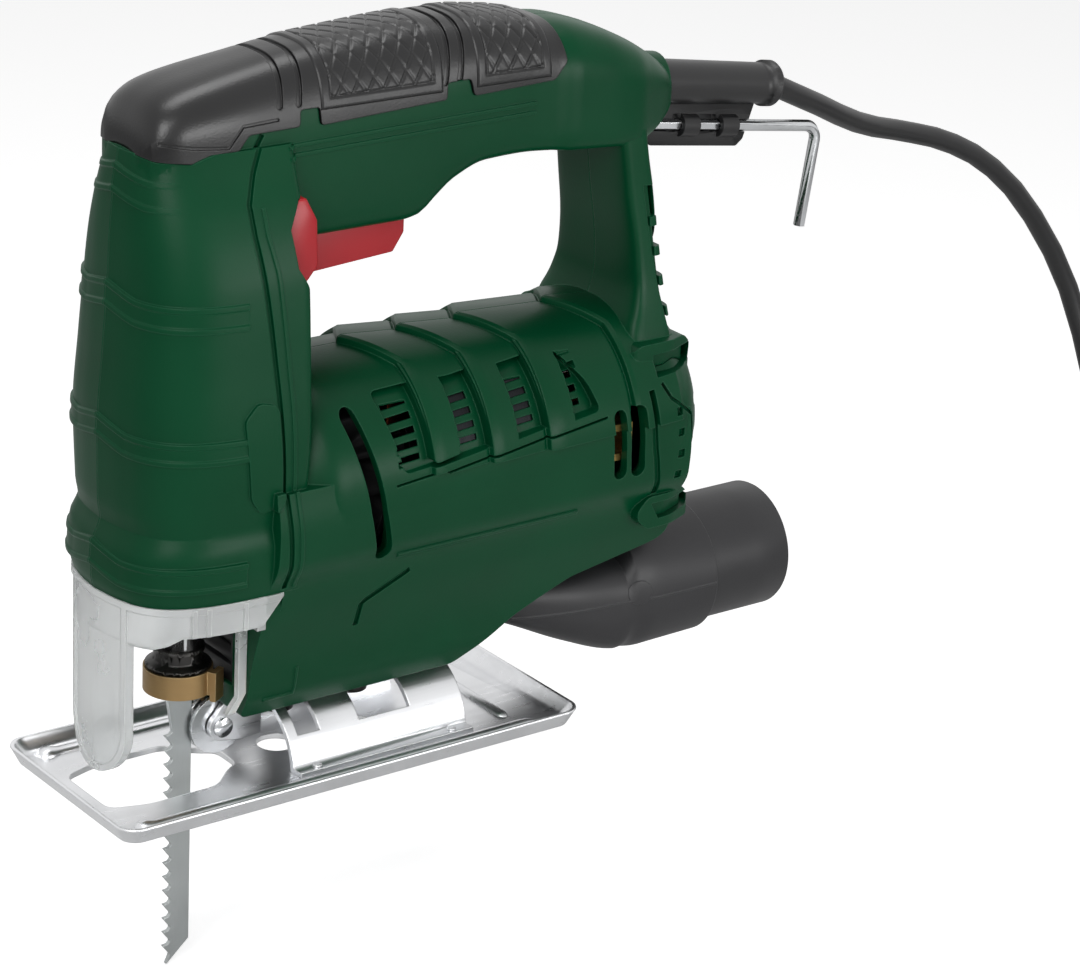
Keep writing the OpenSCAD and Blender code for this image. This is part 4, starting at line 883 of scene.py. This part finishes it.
def sunkRelief(body):
    # Grooves, recesses and the vent field, cut to an even depth below the skin
    shallow = union([bothSides(outline, 6, 45) for outline in (
        stripOutline([(-25, 171), (-29.4, 163), (-32, 156), (-31.8, 149), (-29.2, 128), (-27.3, 110.5),
                      (-25.4, 90), (-24, 71), (-23.2, 58)], 0.75),
        [(91.6, 142), (95.6, 141.6), (102.8, 102), (98.6, 102)],
        stripOutline([(87.3, 91), (88.6, 77), (91.4, 61)], 1.0),
        stripOutline([(15.4, 54.6), (3.4, 48.2), (2.2, 47), (2.2, 40.4)], 0.8),
        stripOutline([(6.6, 80.6), (40, 83.6), (72.5, 86.6)], 0.35),
        stripOutline([(91.4, 92), (93.6, 88), (101.6, 82), (103.8, 72), (102.4, 63)], 0.5))])
    # Small squares left standing in the strut's groove, and small sunk ones before the rear
    for z in (108, 116, 124, 132):
        x = 100.7 - (z - 102) * 0.1775
        cut(shallow, bothSides(square(x, z, 1.2), 5, 50))
    union([shallow] + [bothSides(square(x, z, 1.1), 8, 45)
                       for x, z in ((96.4, 84), (97.4, 78), (97.8, 72), (97.4, 66))])
    cut(shallow, bodyForm(-1.2))
    deep = union([bothSides(ventOutline, 14, 45),
                  bothSides([(90.4, 93.4), (107, 93.8), (106, 99.2), (90.6, 98.8)], 12, 45),
                  bothSides([(93, 53.8), (107, 54.2), (107, 58.6), (90.4, 58.4)], 12, 45)])
    for x in housing["straps"]:
        cut(deep, bothSides(grownOutline(strapOutline(x), 0.1), 10, 50))
    cut(deep, bodyForm(-2.0))
    cut(body, shallow)
    return cut(body, deep)


def openCuts():
    # Louvres between the straps, and the slots beside them
    tools = []
    for column, x in enumerate((8.2, 26, 44, 62)):
        wide = 5 if column == 3 else 7.8
        for row in range(6):
            z = 84.8 + x * 0.09 + row * 3.1
            tools.append(bothSides([(x - 0.6, z - 0.8), (x - 0.6 + wide, z - 0.8 + wide * 0.07),
                                    (x - 0.6 + wide, z + 0.8 + wide * 0.07), (x - 0.6, z + 0.8)], 20, 45))
    for start, end, radius in (((-3.6, 98), (4.4, 63), 2.3), ((76.6, 85.6), (77.6, 70.6), 2.1),
                               ((82.4, 86), (83.4, 70.6), 2.3)):
        tools.append(bothSides(slotOutline(start, end, radius), 18, 45))
    for z in (66.4, 75.2, 84):
        tools.append(bothSides(slotOutline((106.2, z), (114, z), 1.7), 7, 45))
    return union(tools)


def sleeveDrill(start, end, radius):
    # Round tool along the cord's exit line
    tilt = radians(sleeveAxis["tilt"])
    along = Vector((cos(tilt), 0, -sin(tilt)))
    return drill(Vector(sleeveAxis["start"]) + along * start, along, end - start, radius)


def insideRoom():
    # The hollow of the shells, with its ribs, bosses and walls left standing
    room = bodyForm(-housing["wall"], 2)
    stays = [drill((x, -40, z), (0, 1, 0), 80, 3.6, 16) for x, z, reach in housing["screws"]]
    stays += [midBlock(86.6, 89, 40, 40, 100), midBlock(-11.8, -9.6, 40, 54.3, 107.3)]
    for x, wide, high in ((1, 1.6, 12), (18, 1.6, 12), (86, 3, 7)):
        stays += twinBlocks((x, 8.1, 157), (x + wide, 38.1, 157 + high))
    cut(room, *stays)
    rooms = [drill((x, 0, z), (1, 0, 0), length, radius) for x, z, length, radius in housing["bores"]]
    rooms += [midBlock(*sides) for sides in housing["rooms"]]
    rooms += [sidePrism(grownOutline(lockOutline, 0.35), -40, -8),
              sleeveDrill(-16, 10, 6.1), sleeveDrill(-8.1, -5.3, 7.7),
              drill((-37, 0, 51), (0, 0, 1), 14, 10.5), *twinBlocks((-40, 24.4, 48), (-22.8, 33.4, 57))]
    for x, z, reach in housing["screws"]:
        rooms += [drill((x, -8, z), (0, 1, 0), 48, 1.85, 16),
                  drill((x, reach, z), (0, 1, 0), 40 - reach, 3.5, 24)]
    rooms += [drill((x, 0, 16.8), (0, 0, 1), 5.4, 2.55, 24) for x in (-7, 16)]
    return union([room] + rooms)


def addHousing():
    skin = union([bodyForm(0)] + [caseBand(top, wide) for top, wide in housing["bands"]]
                 + [barrelScale(start, end) for start, end in housing["scales"]]
                 + [sleeveDrill(-7, 0.6, 7.9)])
    skin = raisedRelief(skin)
    skin = sunkRelief(skin)
    print("housing skin raised and cut")
    cut(skin, openCuts())
    cut(skin, gripForm(0.2, housing["points"], housing["spacing"]))
    cut(skin, insideRoom())
    for name, near, far, node in (("leftShell", -60, -0.07, "left_shell"),
                                  ("rightShell", 0.07, 60, "right_shell")):
        half = copied(skin)
        within(half, block((-100, near, 0), (200, far, 220)))
        named(half, name)
        smooth(half, 22)
        finishPiece(half, "housing", "greenNylon", "green_shell", node)
    discard(skin)


addHousing()
print("housing shells made")


# Grip
gripLook = {"pads": [(-8.6, 27), (37, 60)], "lowEdge": 174.8, "diamond": (4.7, 7.4), "rim": 2.9, "step": 0.3,
            "across": 84, "rise": 0.5, "grooveDepth": 0.42, "grooveHalf": 0.42, "rimGrooveHalf": 0.4,
            "grooves": (-18, -12.6, 29.8, 34), "points": 160, "spacing": 1.6,
            "line": [(-52, 171.5), (-44, 170), (-34.5, 169), (-30.5, 173.6), (-20.5, 174)]}


def ramp(value, start, end):
    t = min(1, max(0, (value - start) / (end - start)))
    return t * t * (3 - 2 * t)


def arcAt(station, grow, lowEdge):
    # Places from the low edge on the left flank up to the crest, and how far along the way each is
    low, high, change = rowAt(housing["handle"]["rows"], station)[1:]
    middle, halfHigh = (low + high) / 2, (high - low) / 2 + grow
    halfWide = housing["handle"]["half"] + change + grow
    first = asin(((lowEdge - middle) / halfHigh) ** (housing["handle"]["power"] / 2))
    steps, power = 400, 2 / housing["handle"]["power"]
    line = []
    for k in range(steps + 1):
        angle = first + (pi / 2 - first) * k / steps
        line.append(Vector((-halfWide * bent(cos(angle), power),
                            middle + halfHigh * sin(angle) ** power)))
    lengths = [0]
    for a, b in zip(line, line[1:]):
        lengths.append(lengths[-1] + (b - a).length)
    return line, lengths


def padPiece(name, ends):
    # Raised rim round a field of crossed grooves
    start, end = ends
    across, rise, depthOf = gripLook["across"], gripLook["rise"], gripLook["grooveDepth"]
    wide, tall = gripLook["diamond"]
    slant = 1 / hypot(1 / wide, 1 / tall)
    rings = []
    count = round((end - start) / gripLook["step"])
    for k in range(count + 1):
        station = start + (end - start) * k / count
        line, lengths = arcAt(station, 0.7, gripLook["lowEdge"])
        whole = lengths[-1]
        left = []
        spot = 0
        for j in range(across + 1):
            want = whole * j / across
            while spot < len(lengths) - 2 and lengths[spot + 1] < want:
                spot += 1
            share = (want - lengths[spot]) / (lengths[spot + 1] - lengths[spot])
            here = line[spot].lerp(line[spot + 1], share)
            along = (line[spot + 1] - line[spot]).normalized()
            outward = Vector((-along.y, along.x))
            reach = whole - want
            border = min(station - start, end - station, want)
            rim = max(0, 1 - abs(border - gripLook["rim"]) / gripLook["rimGrooveHalf"])
            height = rise * ramp(border, 0, 0.6) - depthOf * rim
            if border > gripLook["rim"]:
                depth = 0
                for sign in (1, -1):
                    phase = station / wide + sign * reach / tall
                    depth = max(depth, 1 - abs(phase - round(phase)) * slant / gripLook["grooveHalf"])
                height -= depthOf * depth
            left.append((here, outward, height))
        outer = [(station, place.x + out.x * high, place.y + out.y * high) for place, out, high in left]
        inner = [(station, place.x - out.x * 0.5, place.y - out.y * 0.5) for place, out, high in left]
        outerRight = [(x, -y, z) for x, y, z in outer[:-1]][::-1]
        innerRight = [(x, -y, z) for x, y, z in inner[:-1]][::-1]
        rings.append(outer + outerRight + (inner + innerRight)[::-1])
    piece = wrapped(name, rings)
    smooth(piece, 60)
    return finishPiece(piece, "housing", "gripRubber", "soft_grip")


def addGrip():
    count, spacing = gripLook["points"], gripLook["spacing"]
    grip = gripForm(0, count, spacing)
    grooves = union([sidePrism(slotOutline((x - 2, 177), (x + 2, 200), 0.8)) for x in gripLook["grooves"]])
    cut(grooves, handleForm(0, count, spacing))
    cut(grip, grooves)
    line = bothSides(stripOutline(gripLook["line"], 0.35), 4, 40)
    cut(line, handleForm(0.25, count, spacing))
    cut(grip, line)
    grip.name = "gripBand"
    smooth(grip, 24)
    finishPiece(grip, "housing", "gripRubber", "soft_grip", "handle_grip")
    for index, ends in enumerate(gripLook["pads"]):
        padPiece("gripPad" + str(index + 1), ends)


addGrip()
print("grip made")

# Clear guard
guardLook = {"floor": 57, "low": 8, "wall": 1.9, "tongue": 12.6, "rim": 1.7, "edge": 0.45,
             "ribs": (-48, -44.4, -34.6),
             "bandSide": [(-75, 60), (-75, 46), (-56, 46), (-53, 47.2), (-50, 49), (-29, 49), (-23, 56),
                          (-23, 60)],
             "lipSide": [(-75, 58), (-75, 55.2), (-24.4, 55.2), (-23.6, 57)],
             "legSide": [(-29.8, 48.5), (-29.8, 26), (-33, 22), (-30.6, 22), (-27.4, 27), (-27.4, 48.5)]}


def ringPrism(grow, low, high):
    look = housing["case"]
    ring = caseRing(look["rows"][0][1], look["rows"][0][2], grow, 150)
    return prism("guardWall", [(x, y, 0) for x, y in ring], (0, 0, low), (0, 0, high - low))


def guardWall(low, outside, inside):
    return cut(ringPrism(outside, low, guardLook["floor"]), ringPrism(inside, low - 1, 60))


def tongueOutline(inset):
    # Straight sides and a round lower end, as Y and Z
    half = guardLook["tongue"] - inset
    middle = guardLook["low"] + guardLook["tongue"]
    arc = [(-half * cos(pi * k / 24), middle - half * sin(pi * k / 24)) for k in range(25)]
    return [(-half, 70)] + arc + [(half, 70)]


def tongueCut(inset):
    return prism("tongueCut", [(0, y, z) for y, z in tongueOutline(inset)], (-75, 0, 0), (29, 0, 0))


def addGuard():
    wall = guardLook["wall"]
    band = within(guardWall(46, 0, -wall), sidePrism(guardLook["bandSide"]))
    lip = within(guardWall(55, 0.5, -wall), sidePrism(guardLook["lipSide"]))
    tongue = within(guardWall(guardLook["low"], -0.1, -wall + 0.3), tongueCut(0))
    rim = within(guardWall(guardLook["low"], 0.5, -wall + 0.2), tongueCut(0))
    cut(rim, tongueCut(guardLook["rim"]))
    ribs = [within(guardWall(49, 0.6, -wall), midBlock(x, x + 1.1, 40, 49.2, 56.4))
            for x in guardLook["ribs"]]
    legs = [sidePrism(guardLook["legSide"], low, high) for low, high in ((-16.8, -15), (15, 16.8))]
    guard = union([band, lip, tongue, rim] + ribs + legs + twinBlocks((-29.8, 15, 47.4), (-27.4, 25, 49.4)))
    named(guard, "clearGuard")
    roundEdges(guard, guardLook["edge"], 50)
    smooth(guard, 35)
    finishPiece(guard, "housing", "clearPlastic", "clear_plastic", "blade_guard")


addGuard()
print("guard made")


# Sole
soleLook = {"length": 140.5, "width": 61.5, "corner": 5.5, "gap": -63.25, "beads": 24.15, "beadRise": 0.806,
            "bulb": [(0, 0.3), (0.4, 1.3), (1.2, 2.2), (2.4, 2.75), (3.8, 2.7), (5.2, 2.3), (6.6, 2.0),
                     (9, 1.95)],
            "tail": [(-7, 1.95), (-4, 1.8), (-2, 1.3), (-0.8, 0.7), (-0.2, 0.2)],
            "cross": [(0, 0.3), (0.8, 1.2), (2.4, 1.9), (-2.4, 1.9), (-0.8, 1.2), (-0.1, 0.3)],
            "rim": [(2.6, 0), (2.05, 0.25), (1.75, 0.8), (0.25, 4.1), (0.0, 4.5), (0.12, 4.85), (0.5, 5.0),
                    (0.95, 4.85), (1.2, 4.4), (1.45, 3.8), (2.7, 2.3), (3.2, 1.85), (3.9, 1.55), (5.0, 1.5)]}


def soleRing(inset, height):
    halfX, halfY = soleLook["length"] / 2 - inset, soleLook["width"] / 2 - inset
    radius = max(1.5, soleLook["corner"] - inset * 0.5)
    ring = []
    for quarter, (signX, signY) in enumerate(((1, 1), (-1, 1), (-1, -1), (1, -1))):
        for k in range(13):
            angle = pi / 2 * (quarter + k / 12)
            ring.append((signX * (halfX - radius) + radius * cos(angle),
                         signY * (halfY - radius) + radius * sin(angle), height))
    return ring


def bead(start, end, rows):
    # Pressed rib from one end to the other: places along it, and its half width there
    begin, finish = Vector(start), Vector(end)
    along = (finish - begin).normalized()
    side = Vector((-along.y, along.x, 0))
    rings = []
    for place, radius in rows:
        middle = begin + along * (place if place >= 0 else (finish - begin).length + place)
        rings.append([tuple(middle + side * x + Vector((0, 0, z)))
                      for x, z in oval(0, 0, radius, radius * soleLook["beadRise"], 2, 20)])
    return wrapped("bead", rings)


def addSole():
    plate = wrapped("solePlate", [soleRing(inset, height) for inset, height in soleLook["rim"]])
    beads = [bead((-64, y, 1.1), (60, y, 1.1), soleLook["bulb"] + soleLook["tail"])
             for y in (-soleLook["beads"], soleLook["beads"])]
    union([plate] + beads + [bead((53.2, -19, 1.1), (53.2, 19, 1.1), soleLook["cross"])])
    cut(plate, midBlock(-69, 69, 30, -4, 0))
    x = soleLook["gap"]
    gap = softOutline([(x, -10.5), (x + 10, -13.5), (x + 30, -13.5), (x + 37, -7), (x + 41, -5), (x + 41, 5),
                       (x + 37, 7), (x + 30, 13.5), (x + 10, 13.5), (x, 10.5)], 3)
    cut(plate, prism("gap", [(px, py, 0) for px, py in gap], (0, 0, -1), (0, 0, 12)))
    for place in (-7, 16):
        cut(plate, drill((place, 0, -1), (0, 0, 1), 12, 5.2))
    smooth(plate, 35)
    finishPiece(plate, "sole", "pressedSteel", "pressed_steel", "sole_plate")


addSole()
print("sole made")


# Dust adaptor
adaptorLook = {"tubeHeight": 25, "tube": 17.5, "wall": 1.9, "end": 151, "points": 96,
               "rows": [(57, 23.6, 31.3, 9, 3.2), (64, 20.4, 34.6, 11.6, 3.0), (80, 12.8, 35.6, 15.4, 2.8),
                        (95, 7, 36, 17, 2.6), (97.5, 6.6, 41.6, 17.4, 2.4), (104, 5.4, 43, 18.4, 2.2),
                        (124, 5.4, 43, 18.8, 2.0)]}


def scoopForm(grow):
    rows = adaptorLook["rows"]
    return wrapped("scoop", [lyingRing(x + endShift(rows, x, grow), low, high, half, grow, power,
                                       adaptorLook["points"])
                             for x, low, high, half, power in eased(rows, 1.8)])


def tubeForm(profile):
    # Turned about the tube's axis: stations and radii
    return wrapped("tube", [hoop(x, radius, adaptorLook["tubeHeight"], adaptorLook["points"])
                            for x, radius in profile])


def addAdaptor():
    radius, end, wall = adaptorLook["tube"], adaptorLook["end"], adaptorLook["wall"]
    mark = drill((98, -40, 27), (0, 1, 0), 80, 3.4, 40)
    within(mark, scoopForm(0.25))
    seam = within(midBlock(60, 123.5, 40, 24.7, 25.3), scoopForm(0.25))
    body = union([scoopForm(0), mark, seam,
                  tubeForm([(122, radius), (130, radius), (140, radius), (end - 0.8, radius),
                            (end - 0.3, radius - 0.25), (end, radius - 0.8)]),
                  midBlock(47, 58, 8, 24.6, 31.4)])
    bore = radius - wall
    cut(body, scoopForm(-wall), tubeForm([(118, bore), (135, bore), (end + 1, bore)]),
        midBlock(46, 60, 6.1, 26.5, 29.5))
    body.data.validate()
    named(body, "dustAdaptor")
    smooth(body, 28)
    finishPiece(body, "dust_adaptor", "greyNylon", "grey_plastic", "dust_adaptor")


addAdaptor()
print("adaptor made")


# Pieces carried over
carried = {
    ("brightSteel", "steel"): ("housing_screws", "motor_shaft", "drive_gear", "plunger", "clamp_spring"),
    ("brightSteel", "bright_steel"): ("hex_key", "front_bearing", "rear_bearing", "crank_pin", "gear_shaft",
                                      "roller_pin", "guide_roller"),
    ("bladeSteel", "bright_steel"): ("saw_blade",),
    ("blackSteel", "dark_steel"): ("clamp_body", "saddle_screws"),
    ("pressedSteel", "pressed_steel"): ("roller_arm", "sole_saddle", "saddle_rivets", "nut_plate"),
    ("bronzePaint", "bronze_ring"): ("clamp_ring",),
    ("castAlloy", "cast_alloy"): ("gear_frame", "cross_yoke"),
    ("laminatedIron", "iron"): ("motor_stator", "armature_core"),
    ("copperWire", "copper"): ("field_coils", "commutator"),
    ("brass", "brass"): ("brush_holders", "upper_bush", "lower_bush"),
    ("carbon", "black_plastic"): ("carbon_brushes",),
    ("blackNylon", "black_plastic"): ("switch_unit", "cord_clamp", "key_clip", "cooling_fan",
                                      "chip_deflector"),
    ("redPlastic", "red_plastic"): ("trigger", "lock_button"),
}
bevels = {"trigger": 0.5, "lock_button": 0.6}
for (finish, slot), nodes in carried.items():
    for node in nodes:
        dressed(node, finish, slot, bevels.get(node, 0.0))
print("carried pieces dressed:", sum(len(nodes) for nodes in carried.values()))
